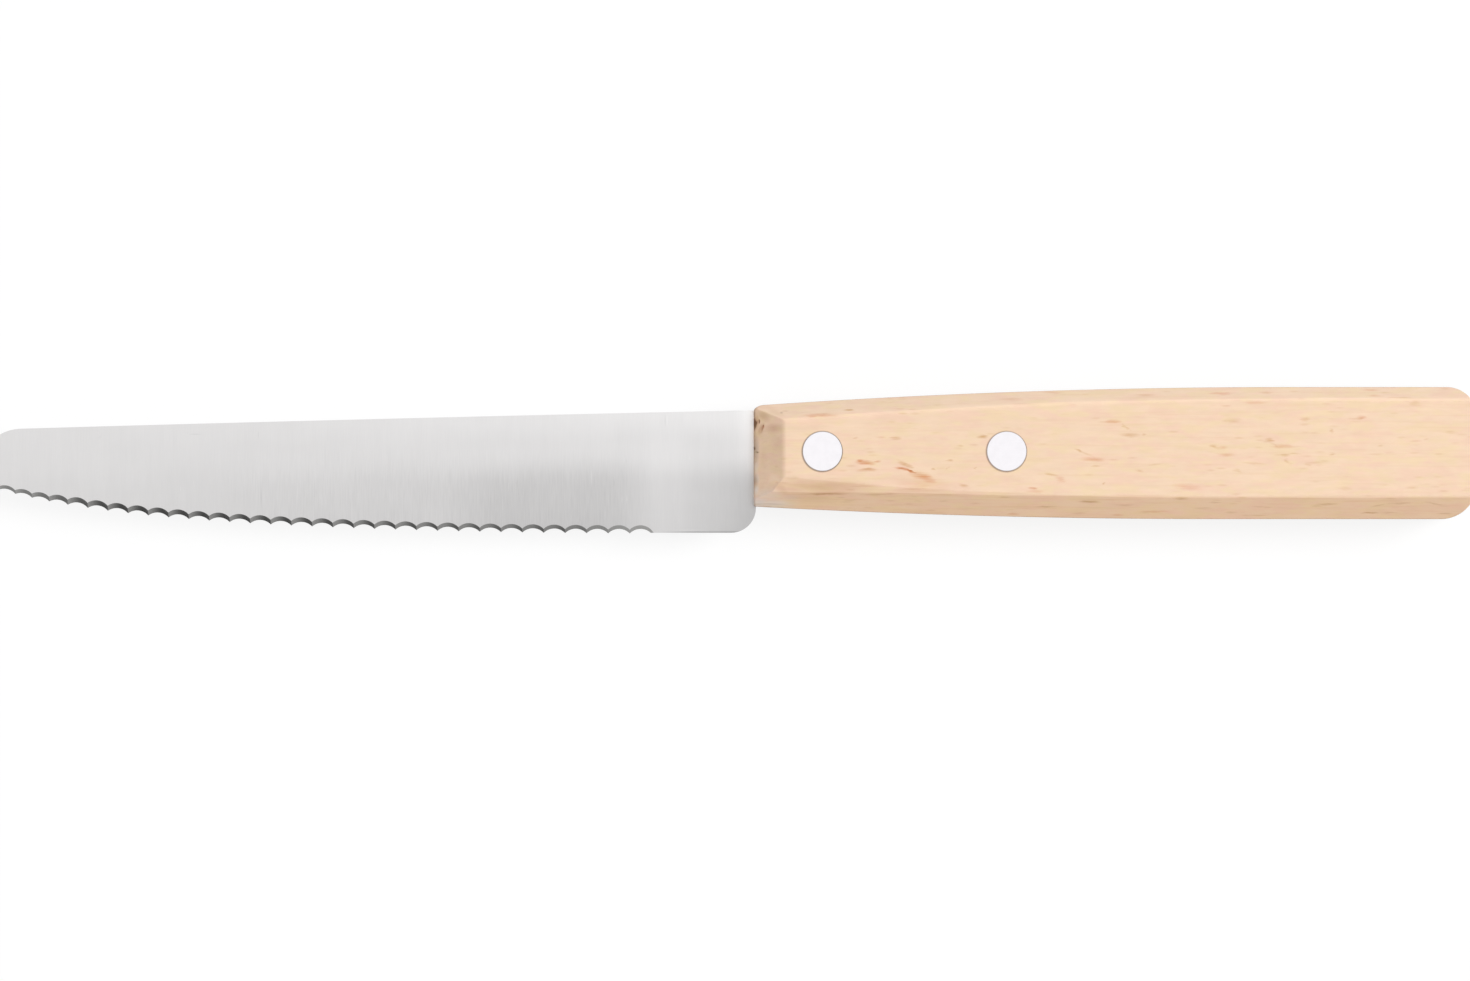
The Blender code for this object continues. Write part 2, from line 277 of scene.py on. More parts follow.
def seen_directly(tree):
    """One for what the camera, a reflection or a view through glass meets, else nought."""
    rays = [wire(tree, "ShaderNodeLightPath", {}, output=ray)
            for ray in ("Is Camera Ray", "Is Glossy Ray", "Is Transmission Ray")]
    return sums(tree, "ADD", sums(tree, "ADD", *rays[:2]), rays[2], clamp=True)


def lay_floor():
    half = FLOOR_SIZE / 2 * MM
    drop = -FLOOR_GAP * MM
    corners = [(-half, -half, drop), (half, -half, drop), (half, half, drop), (-half, half, drop)]
    mesh = bpy.data.meshes.new("floor")
    mesh.from_pydata(corners, [], [(0, 1, 2, 3)])
    floor = bpy.data.objects.new("floor", mesh)
    bpy.context.scene.collection.objects.link(floor)
    material = bpy.data.materials.new("white_floor")
    material.use_nodes = True
    tree = material.node_tree
    shader = tree.nodes["Principled BSDF"]
    shader.inputs["Base Color"].default_value = FLOOR_COLOUR
    shader.inputs["Roughness"].default_value = 1.0
    shader.inputs["Specular IOR Level"].default_value = 0.0
    shader.inputs["Emission Color"].default_value = WHITE
    tree.links.new(product(tree, seen_directly(tree), FLOOR_GLOW), shader.inputs["Emission Strength"])
    mesh.materials.append(material)
    floor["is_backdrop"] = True


def light_world():
    world = bpy.data.worlds.new("studio")
    world.use_nodes = True
    tree = world.node_tree
    background = tree.nodes["Background"]
    background.inputs["Color"].default_value = WHITE
    strength = evenly(tree, seen_directly(tree), 0.0, 1.0, WORLD_FILL, 1.0)
    tree.links.new(strength, background.inputs["Strength"])
    bpy.context.scene.world = world


def hang_lamp():
    lamp_data = bpy.data.lights.new("lamp", "AREA")
    lamp_data.shape = "DISK"
    lamp_data.size = LAMP_SIZE * MM
    lamp_data.energy = LAMP_POWER
    lamp = bpy.data.objects.new("lamp", lamp_data)
    lamp.location = LAMP_DIRECTION * LAMP_DISTANCE * MM
    lamp.rotation_euler = LAMP_DIRECTION.to_track_quat("Z", "Y").to_euler()
    lamp.visible_glossy = False
    bpy.context.scene.collection.objects.link(lamp)


lay_floor()
light_world()
hang_lamp()
bpy.context.scene.view_settings.view_transform = "Standard"
print("floor, world and lamp are in place")

# %% [markdown]
# ## Turning points into pieces
# Each piece is worked out in millimetres from the datum. One helper brings its points to metres, sets the
# object on the datum, and lets it ride on the knife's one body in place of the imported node. Because the
# object stands on the datum, its own coordinates are distances from there, which the finishes use too.

# %% Helpers that make a piece, and cut one with another
WELD = 0.001                    # points closer than this are one point
ROUND_SIDES = 96                # of anything that is turned


def new_piece(name, points, faces):
    """A mesh object on the datum, from points in millimetres and the faces between them."""
    mesh = bpy.data.meshes.new(name)
    mesh.from_pydata([Vector(point) * MM for point in points], [], faces)
    shape = bmesh.new()
    shape.from_mesh(mesh)
    bmesh.ops.remove_doubles(shape, verts=shape.verts, dist=WELD * MM)
    bmesh.ops.dissolve_degenerate(shape, edges=shape.edges, dist=WELD * MM)
    bmesh.ops.recalc_face_normals(shape, faces=shape.faces)
    shape.to_mesh(mesh)
    shape.free()
    piece = bpy.data.objects.new(name, mesh)
    piece.location = DATUM * MM
    bpy.context.scene.collection.objects.link(piece)
    return piece


def carve(piece, cutters):
    """Takes the cutters out of a piece for good, and removes them."""
    for cutter in cutters:
        step = piece.modifiers.new("carve", "BOOLEAN")
        step.operation = "DIFFERENCE"
        step.solver = "EXACT"
        step.object = cutter
    bpy.context.view_layer.update()
    evaluated = piece.evaluated_get(bpy.context.evaluated_depsgraph_get())
    carved = bpy.data.meshes.new_from_object(evaluated)
    piece.modifiers.clear()
    piece.data = carved
    for cutter in cutters:
        bpy.data.objects.remove(cutter, do_unlink=True)


def rings_to_faces(ring_count, ring_size):
    """Quads between rings of points, and a face over each end."""
    faces = []
    for ring in range(ring_count - 1):
        for corner in range(ring_size):
            neighbour = (corner + 1) % ring_size
            first = ring * ring_size
            second = first + ring_size
            faces.append((first + corner, first + neighbour, second + neighbour, second + corner))
    last = (ring_count - 1) * ring_size
    return [*faces, tuple(range(ring_size)), tuple(range(last, last + ring_size))]


def turned(name, profile, x, y):
    """A solid turned about an upright axis, from its radii and heights."""
    turns = [2 * pi * side / ROUND_SIDES for side in range(ROUND_SIDES)]
    points = [(x + r * cos(turn), y + r * sin(turn), z) for r, z in profile for turn in turns]
    return new_piece(name, points, rings_to_faces(len(profile), ROUND_SIDES))


def upright_prism(name, outline, low, high):
    """A flat outline drawn up from one height to another, for cutting slots and nicks."""
    points = [(x, y, z) for z in (low, high) for x, y in outline]
    return new_piece(name, points, rings_to_faces(2, len(outline)))


def settle(piece, node, sharp_angle):
    """Shades a piece smoothly between its sharp edges, and puts it in its node's place."""
    piece.data.shade_smooth()
    piece.data.set_sharp_from_angle(angle=radians(sharp_angle))
    even = piece.modifiers.new("even_flats", "WEIGHTED_NORMAL")
    even.keep_sharp = True
    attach(piece, "root")
    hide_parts(node)
    print(piece.name, len(piece.data.vertices), "points,", len(piece.data.polygons), "faces")


# %% [markdown]
# ## The handle's outline
# The handle is planed from one stick of beech. Its spine side drops and its belly side rises towards the
# blade, both in a slow curve that is straight again three quarters of the way back. Two formulas give
# those lines, and two more round the corners of the butt as a sanding disc does.

# %% The handle's lines along its length
SPINE_DROP_FRONT = 2.62
SPINE_DROP_LENGTH = 75.3
BELLY_RISE_FRONT = 1.76
BELLY_RISE_LENGTH = 65.3
BUTT_SPINE_RADIUS = 4.1
BUTT_BELLY_RADIUS = 4.8
FRONT_CORNER_DROP = 0.52        # the sanded corner over the blade's spine
FRONT_CORNER_LENGTH = 1.3


def taper(x, length):
    """Falls from one at the front to nought where the taper runs out."""
    return max(0.0, 1 - x / length) ** 2


def corner_loss(x, radius):
    """How far a rounded corner of the butt has fallen from the straight side."""
    beyond = max(0.0, x - (HANDLE_LENGTH - radius))
    return radius - sqrt(max(0.0, radius**2 - beyond**2))


def spine_side(x):
    return HANDLE_HEIGHT / 2 - SPINE_DROP_FRONT * taper(x, SPINE_DROP_LENGTH)


def belly_side(x):
    return BELLY_RISE_FRONT * taper(x, BELLY_RISE_LENGTH) - HANDLE_HEIGHT / 2


for place in (0, HANDLE_LENGTH / 2, HANDLE_LENGTH):
    print(round(place), "mm back: from", round(belly_side(place), 2), "to", round(spine_side(place), 2))

# %% [markdown]
# ## The handle's section
# Cut across, the handle is a block with bevelled corners. Every flat was sanded with the stick held
# against a belt, so each flat is one plane: it faces one way, and only its distance from the middle
# changes. The section is therefore the room that is left inside twelve such planes.
# The narrow planes are where the arrises were eased, and the one beside each belly bevel is the softer
# facet that shows only near the blade. The planes waver a little along the handle, because hands do.

# %% The twelve planes round the handle
SPINE_BEVEL_HEIGHT = 1.75
SPINE_BEVEL_GROWTH = 0.65       # how much taller the bevel is at the front
SPINE_BEVEL_TURN = atan2(1.0, 1.05)
BELLY_BEVEL_HEIGHT = 3.14
BELLY_BEVEL_DEPTH = 2.99
BELLY_BEVEL_TURN = pi - atan2(BELLY_BEVEL_HEIGHT, BELLY_BEVEL_DEPTH)
FACET_GROWTH = 1.35             # how far above the belly bevel the softer facet reaches
FACET_LENGTH = 48.0
FACET_TURN = radians(110.8)
FACET_REST = 0.12               # what is left of that facet near the butt
EASED_DROP = 0.075              # what the belt took off the arris over the spine bevel
FRONT_BEVEL_LENGTH = 4.3
FRONT_BEVEL_DEPTH = 2.2
FRONT_BEVEL_BLEND = 0.34        # rounding where the front bevel meets the cheek
FRONT_EASE = 0.26               # rounding round the front face
BUTT_EASE = 0.45                # rounding round the end of the butt
WAVER = 0.05
WAVER_LENGTH = 14.0
WAVER_APART = 7.3               # keeps the planes' wavers apart


def end_ease(x):
    """What the rounding at either end takes off all round."""
    front = max(0.0, 1 - x / FRONT_EASE)
    butt = max(0.0, 1 - (HANDLE_LENGTH - x) / BUTT_EASE)
    return FRONT_EASE * (1 - sqrt(1 - front**2)) + BUTT_EASE * (1 - sqrt(max(0.0, 1 - butt**2)))


def cheek_face(x):
    """How far out the cheek is: the front bevel, a short rounding, then the flat cheek."""
    slope = FRONT_BEVEL_DEPTH / FRONT_BEVEL_LENGTH
    ahead = FRONT_BEVEL_LENGTH - x
    if ahead > FRONT_BEVEL_BLEND:
        return CHEEK - slope * ahead
    if ahead < -FRONT_BEVEL_BLEND:
        return CHEEK
    return CHEEK - slope * (ahead + FRONT_BEVEL_BLEND) ** 2 / (4 * FRONT_BEVEL_BLEND)


def waver(x, number):
    """A slow unevenness of its own for each plane, none at the cheeks that the knife lies on."""
    return WAVER * noise.noise(Vector((x / WAVER_LENGTH, number * WAVER_APART, 0.5)))


def through(point, turn):
    """The distance out of the plane that faces a turn and goes through a point of the section."""
    return point[0] * cos(turn) + point[1] * sin(turn)


def planes(x, side):
    """The six planes of one cheek's half, from the spine to the belly, as turns and distances."""
    high = spine_side(x) - FRONT_CORNER_DROP * taper(x, FRONT_CORNER_LENGTH)
    low = belly_side(x)
    bevel_height = SPINE_BEVEL_HEIGHT + SPINE_BEVEL_GROWTH * taper(x, SPINE_DROP_LENGTH)
    spine_corner = (spine_side(x) - bevel_height, CHEEK)
    eased_turn = (SPINE_BEVEL_TURN + pi / 2) / 2
    facet_height = BELLY_BEVEL_HEIGHT + FACET_REST + FACET_GROWTH * taper(x, FACET_LENGTH)
    number = 0 if side > 0 else 20
    return [
        (0.0, high - corner_loss(x, BUTT_SPINE_RADIUS)),
        (SPINE_BEVEL_TURN, through(spine_corner, SPINE_BEVEL_TURN) + waver(x, number + 1)),
        (eased_turn, through(spine_corner, eased_turn) - EASED_DROP + waver(x, number + 2)),
        (pi / 2, cheek_face(x)),
        (FACET_TURN, through((low + facet_height, CHEEK), FACET_TURN) + waver(x, number + 3)),
        (BELLY_BEVEL_TURN, through((low, CHEEK - BELLY_BEVEL_DEPTH), BELLY_BEVEL_TURN)
         + waver(x, number + 4)),
    ]


def section_planes(x):
    """All twelve planes in order, the lower half a mirror of the upper one but for its waver."""
    upper = planes(x, 1)
    lower = [(2 * pi - turn, distance) for turn, distance in planes(x, -1)[:0:-1]]
    belly = (pi, -belly_side(x) - corner_loss(x, BUTT_BELLY_RADIUS))
    ease = end_ease(x)
    return [(turn, distance - ease) for turn, distance in [*upper, belly, *lower]]


print("planes round the middle:", len(section_planes(HANDLE_LENGTH / 2)))

# %% [markdown]
# ## From planes to a rounded section
# No arris on sanded wood is a true corner. To round them all at once, the planes are first moved in by
# the radius, the room inside them is found by slicing a big square with each, and a circle of that radius
# is then run round what is left. Each plane keeps its own flat, also where it has shrunk to nothing, so
# that every section has the same number of points and one section joins on to the next.

# %% Round the section and loft the handle
ARRIS_RADIUS = 0.35
ARRIS_STEPS = 3
BIG = 50.0
BEVEL_STATIONS = 0.4, 3.9, 14   # from where to where on the front bevel, in how many steps
BLEND_STEPS = 4
STATION_GAP = 0.4
EASE_STEPS = 6
MIDDLE_STEPS = 95
BUTT_STEPS = 24


def spaced(start, end, steps):
    """Values at even steps, both ends included."""
    return [start + (end - start) * step / steps for step in range(steps + 1)]


def arc(centre, radius, start, end, steps):
    """Points of an arc, both ends included."""
    return [(centre[0] + radius * cos(angle), centre[1] + radius * sin(angle))
            for angle in spaced(start, end, steps)]


def slice_off(polygon, turn, distance):
    """What a plane leaves of a polygon."""
    kept = []
    for start, end in zip(polygon, [*polygon[1:], polygon[0]]):
        start_over = through(start, turn) - distance
        end_over = through(end, turn) - distance
        if start_over <= 0:
            kept.append(start)
        if (start_over <= 0) != (end_over <= 0):
            share = start_over / (start_over - end_over)
            kept.append(tuple(a + (b - a) * share for a, b in zip(start, end)))
    return kept


def rounded_section(x):
    """Points round the section at x, as heights and depths."""
    flats = section_planes(x)
    core = [(-BIG, -BIG), (BIG, -BIG), (BIG, BIG), (-BIG, BIG)]
    for turn, distance in flats:
        core = slice_off(core, turn, distance - ARRIS_RADIUS)
    turns = [turn for turn, distance in flats] + [2 * pi]
    points = []
    for turn, following in zip(turns, turns[1:]):
        corner = max(core, key=lambda point: through(point, (turn + following) / 2))
        points += arc(corner, ARRIS_RADIUS, turn, following, ARRIS_STEPS)
    return points


def handle_stations():
    """Where the sections stand: close together where the outline turns quickly."""
    front = [FRONT_EASE * (1 - cos(turn)) for turn in spaced(0.0, pi / 2, EASE_STEPS)]
    blend = spaced(FRONT_BEVEL_LENGTH - FRONT_BEVEL_BLEND, FRONT_BEVEL_LENGTH + FRONT_BEVEL_BLEND,
                   BLEND_STEPS)
    round_start = HANDLE_LENGTH - BUTT_BELLY_RADIUS
    middle = spaced(blend[-1] + STATION_GAP, round_start, MIDDLE_STEPS)
    butt = [round_start + BUTT_BELLY_RADIUS * sin(turn) for turn in spaced(0.0, pi / 2, BUTT_STEPS)]
    return sorted({round(x, 4) for x in [*front, *spaced(*BEVEL_STATIONS), *blend, *middle, *butt]})


stations = handle_stations()
sections = [rounded_section(x) for x in stations]
handle_points = [(x, y, z) for x, section in zip(stations, sections) for y, z in section]
handle = new_piece("beech_handle", handle_points, rings_to_faces(len(stations), len(sections[0])))
print(len(stations), "sections of", len(sections[0]), "points")

# %% [markdown]
# ## The slot and the rivet holes
# A saw opened the front of the handle for the tang, and a drill made the two holes. The slot is hardly
# wider than the steel, since the rivets squeeze the cheeks on to it. Each hole is as wide as its rivet, but
# the drill frayed its mouth, a little off centre. Grime sits in that groove, and a painted shadow joins it:
# a brown ring on the wood that is thicker towards the blade and the belly, away from the lamp.

# %% Cut the slot and the holes
SLOT_SLACK = 0.04
OVERCUT = 3.0
TANG_END_GAP = 0.3
TANG_LENGTH = blade_high.x - DATUM.x
HOLE_SLACK = 0.012
MOUTH_DEPTH = 0.06
MOUTH_WIDTH = 0.10
MOUTH_OVERRUN = 3               # how many depths the cone goes on above the cheek
MOUTH_OFFSET = -0.03            # along and across the handle, to the blade and to the belly


def rivet_measures(node):
    """A packed rivet's axis from the datum, its radius, and half its length."""
    low, high = (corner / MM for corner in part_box(node))
    return ((low.x + high.x) / 2 - DATUM.x, (low.y + high.y) / 2 - DATUM.y,
            (high.x - low.x) / 2, (high.z - low.z) / 2)


def drill(name, radius, reach, x, y):
    """A round cutter that goes as far as the reach both ways."""
    return turned(name, [(radius, -reach), (radius, reach)], x, y)


def mouth_profile(radius, side):
    """A cone that opens a hole at the upper cheek, side 1, or the lower one, side -1."""
    wide = radius + MOUTH_WIDTH * (1 + MOUTH_OVERRUN)
    return [(radius, side * (CHEEK - MOUTH_DEPTH)), (wide, side * (CHEEK + MOUTH_DEPTH * MOUTH_OVERRUN))]


rivets = {node: rivet_measures(node) for node in ("rivet_front", "rivet_rear")}
slot_half = BLADE_THICKNESS / 2 + SLOT_SLACK
slot_end = TANG_LENGTH + TANG_END_GAP
slot_outline = [(-OVERCUT, -HANDLE_HEIGHT), (slot_end, -HANDLE_HEIGHT), (slot_end, HANDLE_HEIGHT),
                (-OVERCUT, HANDLE_HEIGHT)]
cutters = [upright_prism("slot_cutter", slot_outline, -slot_half, slot_half)]
for node, (x, y, rivet_radius, half_length) in rivets.items():
    radius = rivet_radius + HOLE_SLACK
    cutters.append(drill(node + "_hole", radius, CHEEK + OVERCUT, x, y))
    for side in (1, -1):
        cutters.append(turned(node + "_mouth", mouth_profile(radius, side),
                              x + MOUTH_OFFSET, y + MOUTH_OFFSET))
carve(handle, cutters)
print("handle carved:", len(handle.data.polygons), "faces")

# %% [markdown]
# End grain is brittle, and the front face has lost a few fibres to knocks and to the washing-up brush. The
# largest nick is near the spine, with a sliver of wood still standing beside it. Each nick is a small
# outline sunk into the front bevel down to its own floor.

# %% Chip the front face
NICKS = [
    # floor, then the outline seen from above
    (3.2, [(-0.3, 5.10), (0.10, 4.85), (0.34, 4.50), (0.50, 4.20), (0.42, 3.90), (0.26, 3.55),
           (0.10, 3.15), (-0.3, 3.00)]),
    (4.05, [(0.68, 4.80), (0.88, 4.66), (0.88, 4.25), (0.70, 4.10)]),
    (4.28, [(1.36, 4.00), (1.52, 3.82), (1.24, 3.15), (0.93, 2.74), (0.96, 3.30)]),
    (3.4, [(-0.3, 0.88), (0.14, 0.82), (0.22, 0.64), (0.12, 0.46), (-0.3, 0.40)]),
    (3.90, [(0.12, 0.26), (0.62, 0.17), (0.68, 0.06), (0.20, 0.00)]),
]
carve(handle, [upright_prism("nick", outline, floor, CHEEK) for floor, outline in NICKS])
print("nicks:", len(NICKS))

# %% [markdown]
# ## The blade's outline
# The blade is stamped from sheet steel, tang and all. Its spine runs almost straight to a rounded nose,
# and the teeth are the points where round hollows meet. From above, each hollow is an arc of one radius,
# and the line of the teeth sweeps up to the tip, so the outline follows from a few numbers.

# %% The blade's lines
HEEL_HEIGHT = 17.3
HEEL_RADIUS = 3.5
HEEL_OVERLAP = 0.31             # how far the heel's corner reaches back under the wood
SPINE_FALL = 2.6
SPINE_CROWN = 0.1
NOSE_RADIUS = 6.33
PLAIN_EDGE = 14.44
TOOTH_REACH = 0.10              # how far the lowest teeth stand below the plain edge
EDGE_SWEEP = 3.8
TIP_SWEEP = 3.3
TIP_SWEEP_POWER = 7
SCALLOP_PITCH = 3.06
SCALLOP_RADIUS = 2.15
PITCH_LOSS = 0.09               # the share of it that is slowly lost along the edge
TIP_PITCH_LOSS = 0.15           # the share that is lost near the tip
TIP_PITCH_START = 0.835
TIP_PITCH_RUN = 0.07
TANG_MARGIN = 0.63              # how far the tang stays inside the wood's edges
TANG_END_RADIUS = 2.5
PLAIN_HEIGHT = EDGE_HEIGHT + TOOTH_REACH
SPINE_HEIGHT = PLAIN_HEIGHT + HEEL_HEIGHT


def blade_spine(x):
    """Height of the spine at a distance ahead of the handle."""
    share = x / (BLADE_LENGTH - NOSE_RADIUS)
    return SPINE_HEIGHT - SPINE_FALL * share + 4 * SPINE_CROWN * share * (1 - share)


def serrated_share(x):
    return (-x - PLAIN_EDGE) / (BLADE_LENGTH - PLAIN_EDGE)


def tooth_height(x):
    share = serrated_share(x)
    return EDGE_HEIGHT + EDGE_SWEEP * share**2 + TIP_SWEEP * share**TIP_SWEEP_POWER


def tooth_pitch(x):
    """From one tooth to the next: the wheel's steps became shorter near the tip."""
    share = serrated_share(x)
    near_tip = min(1.0, max(0.0, (share - TIP_PITCH_START) / TIP_PITCH_RUN))
    return SCALLOP_PITCH * (1 - PITCH_LOSS * share - TIP_PITCH_LOSS * near_tip)


def tooth_points():
    """The teeth from the plain edge to just past the tip."""
    x = -PLAIN_EDGE
    teeth = [(x, EDGE_HEIGHT)]
    while x > 0.1 - BLADE_LENGTH:
        x -= tooth_pitch(x)
        teeth.append((x, tooth_height(x)))
    return teeth


def hollow_centre(start, end):
    """The centre of the arc that hangs between two teeth, below them."""
    middle = Vector((start[0] + end[0], start[1] + end[1])) / 2
    half = (Vector(end) - Vector(start)) / 2
    reach = sqrt(SCALLOP_RADIUS**2 - half.length_squared)
    return middle + half.orthogonal().normalized() * reach


teeth = tooth_points()
print(len(teeth) - 1, "hollows, the first at", round(teeth[0][0], 2), "and the last past",
      round(teeth[-1][0], 2))

# %% [markdown]
# ## The ground hollows
# A thin profiled wheel was run at the edge from one side, so each hollow leans: it starts at the lower
# face's edge and comes out more than half a millimetre further up on the upper face. The hollows are widest
# before the tip, where the thin blade gave way to the wheel, and narrow again at the tip itself.
# The blade is built as a stack of outlines, one for each level of its thickness. Along the spine the
# levels only differ where the stamped edge is dulled, and along the teeth each level is moved by its share
# of the wheel's lean.

# %% Stack the blade's outlines
HEEL_GRIND_WIDTH = 0.52
TIP_GRIND_WIDTH = 0.77
GRIND_HOLLOW = 0.80             # below one, the ground face is hollow instead of flat
TIP_FADE = 0.50                 # what is left of the width at the tip itself
TIP_FADE_LENGTH = 13.0
HOLLOW_STEPS = 14
EDGE_EASE = 0.06
LEVELS = (0.0, 0.012, 0.03, 0.06, 0.25, 0.5, 0.75, 0.94, 0.97, 0.988, 1.0)


def grind_width(x):
    """Width of the ground hollow on the upper face."""
    way = min(1.0, max(0.0, serrated_share(x)))
    from_tip = min(1.0, max(0.0, (x + BLADE_LENGTH) / TIP_FADE_LENGTH))
    width = HEEL_GRIND_WIDTH + (TIP_GRIND_WIDTH - HEEL_GRIND_WIDTH) * way
    return width * (TIP_FADE + (1 - TIP_FADE) * from_tip)


def lean(x, level):
    """How far up the ground face has moved at a level from nought, the lower face, to one."""
    return grind_width(x) * level**GRIND_HOLLOW


def hollow_points(number, level):
    """One hollow's points at a level, from its tooth nearer to the tip to the one nearer to the heel."""
    start, end = teeth[number], teeth[number + 1]
    centre = hollow_centre(start, end)
    first = atan2(start[1] - centre.y, start[0] - centre.x)
    last = atan2(end[1] - centre.y, end[0] - centre.x)
    if number == 0:
        over = PLAIN_HEIGHT - centre.y - lean(start[0], level)
        first = asin(over / SCALLOP_RADIUS)
    if number == len(teeth) - 2:
        last = acos((-BLADE_LENGTH - centre.x) / SCALLOP_RADIUS)
    return [(x, y + lean(x, level)) for x, y in arc(centre, SCALLOP_RADIUS, last, first, HOLLOW_STEPS)]


def ground_edge(level):
    """The whole serrated edge at a level, from the tip to the plain edge."""
    edge = []
    for number in reversed(range(len(teeth) - 1)):
        edge += hollow_points(number, level)[:-1]
    edge.append(hollow_points(0, level)[-1])
    return edge


print("ground width at the heel, middle and tip:",
      [round(grind_width(x), 2) for x in (-PLAIN_EDGE, -BLADE_LENGTH / 2, -BLADE_LENGTH)])

# %% [markdown]
# The rest of the outline runs from the plain edge round the heel, round the tang inside the handle, and
# along the spine to the nose. These points carry the dulled edge, so they move in by a small amount near
# both faces. The direction to move in comes from their two neighbours.

# %% The dulled outline, and the blade itself
SPINE_STEPS = 40
NOSE_STEPS = 20
HEEL_STEPS = 12
TANG_STEPS = 14
RIVET_HOLE_RADIUS = 3.0


def tang_outline():
    """From the tang's lower front corner round its end to its upper front corner."""
    end = TANG_LENGTH
    radius = TANG_END_RADIUS
    stops = spaced(0.0, end - radius, TANG_STEPS)[:-1]
    low_end = belly_side(end) + TANG_MARGIN
    high_end = spine_side(end) - TANG_MARGIN
    lower = [(max(x, HEEL_OVERLAP), belly_side(x) + TANG_MARGIN) for x in stops]
    upper = [(x, spine_side(x) - TANG_MARGIN) for x in reversed(stops)]
    end_round = arc((end - radius, low_end + radius), radius, -pi / 2, 0.0, HEEL_STEPS)
    end_round += arc((end - radius, high_end - radius), radius, 0.0, pi / 2, HEEL_STEPS)
    return lower + end_round + upper


def dulled_outline():
    """From the heel's round corner, by the tang and the spine, to the bottom of the nose."""
    heel_middle = (HEEL_OVERLAP - HEEL_RADIUS, PLAIN_HEIGHT + HEEL_RADIUS)
    heel = arc(heel_middle, HEEL_RADIUS, -pi / 2, 0.0, HEEL_STEPS)
    run = BLADE_LENGTH - NOSE_RADIUS
    spine = [(-x, blade_spine(x)) for x in spaced(0.0, run, SPINE_STEPS)[1:-1]]
    nose = arc((-run, blade_spine(run) - NOSE_RADIUS), NOSE_RADIUS, pi / 2, pi, NOSE_STEPS)
    return heel + tang_outline() + spine + nose


def moved_in(outline, level):
    """The dulled outline at a level: full size in the middle, drawn in near each face."""
    near_face = min(level, 1 - level) * BLADE_THICKNESS
    short = max(0.0, 1 - near_face / EDGE_EASE)
    inward = EDGE_EASE * (1 - sqrt(1 - short**2))
    befores = [outline[0], *outline[:-1]]
    afters = [*outline[1:], outline[-1]]
    moved = []
    for (x, y), before, after in zip(outline, befores, afters):
        along = Vector((after[0] - before[0], after[1] - before[1])).normalized()
        moved.append((x - along.y * inward, y + along.x * inward))
    return moved


def build_blade():
    dulled = dulled_outline()
    rings = [ground_edge(level) + moved_in(dulled, level) for level in LEVELS]
    points = [(x, y, (level - 0.5) * BLADE_THICKNESS) for level, ring in zip(LEVELS, rings) for x, y in ring]
    blade = new_piece("steel_blade", points, rings_to_faces(len(rings), len(rings[0])))
    carve(blade, [drill(node + "_tang_hole", RIVET_HOLE_RADIUS, OVERCUT, x, y)
                  for node, (x, y, rivet_radius, half_length) in rivets.items()])
    return blade


blade = build_blade()
print("blade", len(blade.data.polygons), "faces")

# %% [markdown]
# ## Marks laid one by one
# Noise gives a surface its even character, but what the eye remembers are single marks: a scratch on the
# steel, a dark fleck in the wood. One node group draws such a mark as a soft ellipse, and a loop repeats it
# down a list of places, so that each mark lies where the real knife has it.

# %% A node group that draws one mark
MARK_EDGE = (1.12, 0.10)        # where it has faded out, and where it is full, in shares of its reach
MARK_SOCKETS = {"Place": "Vector", "Middle": "Vector", "Turn": "Float", "Reach": "Vector",
                "Strength": "Float"}


def make_mark_group():
    """One soft-edged ellipse: its middle, turn, reach and strength."""
    group = bpy.data.node_groups.new("soft_mark", "ShaderNodeTree")
    for name, kind in MARK_SOCKETS.items():
        group.interface.new_socket(name, in_out="INPUT", socket_type="NodeSocket" + kind)
    group.interface.new_socket("Mark", in_out="OUTPUT", socket_type="NodeSocketFloat")
    given = group.nodes.new("NodeGroupInput").outputs
    offset = vectors(group, "SUBTRACT", given["Place"], given["Middle"])
    lined_up = wire(group, "ShaderNodeVectorRotate", {"Vector": offset, "Angle": given["Turn"]},
                    rotation_type="Z_AXIS")
    distance = vectors(group, "LENGTH", vectors(group, "MULTIPLY", lined_up, given["Reach"]), output=1)
    mark = product(group, between(group, distance, *MARK_EDGE), given["Strength"])
    result = group.nodes.new("NodeGroupOutput")
    group.links.new(mark, result.inputs["Mark"])
    return group


mark_group = make_mark_group()


def soft_mark(tree, place, mark):
    """Adds one mark: x, y, length, width, turn in degrees, strength."""
    x, y, length, width, turn, strength = mark
    return wire(tree, "ShaderNodeGroup", {
        "Place": place, "Middle": (x, y, 0.0), "Turn": radians(-turn),
        "Reach": (2 / length, 2 / width, 0.0), "Strength": strength,
    }, "Mark", node_tree=mark_group)


def strongest(tree, place, marks):
    """The strongest of all the listed marks at a place."""
    total = soft_mark(tree, place, marks[0])
    for mark in marks[1:]:
        total = sums(tree, "MAXIMUM", total, soft_mark(tree, place, mark))
    return total


print("mark group has", len(mark_group.nodes), "nodes")

# %% [markdown]
# ## Steel
# The sheet was ground flat before stamping, and the grinding lines run from the spine to the edge. Use has
# added short scratches, most of them along those lines. They were measured on the photograph, from the
# handle's front face and from its middle height.

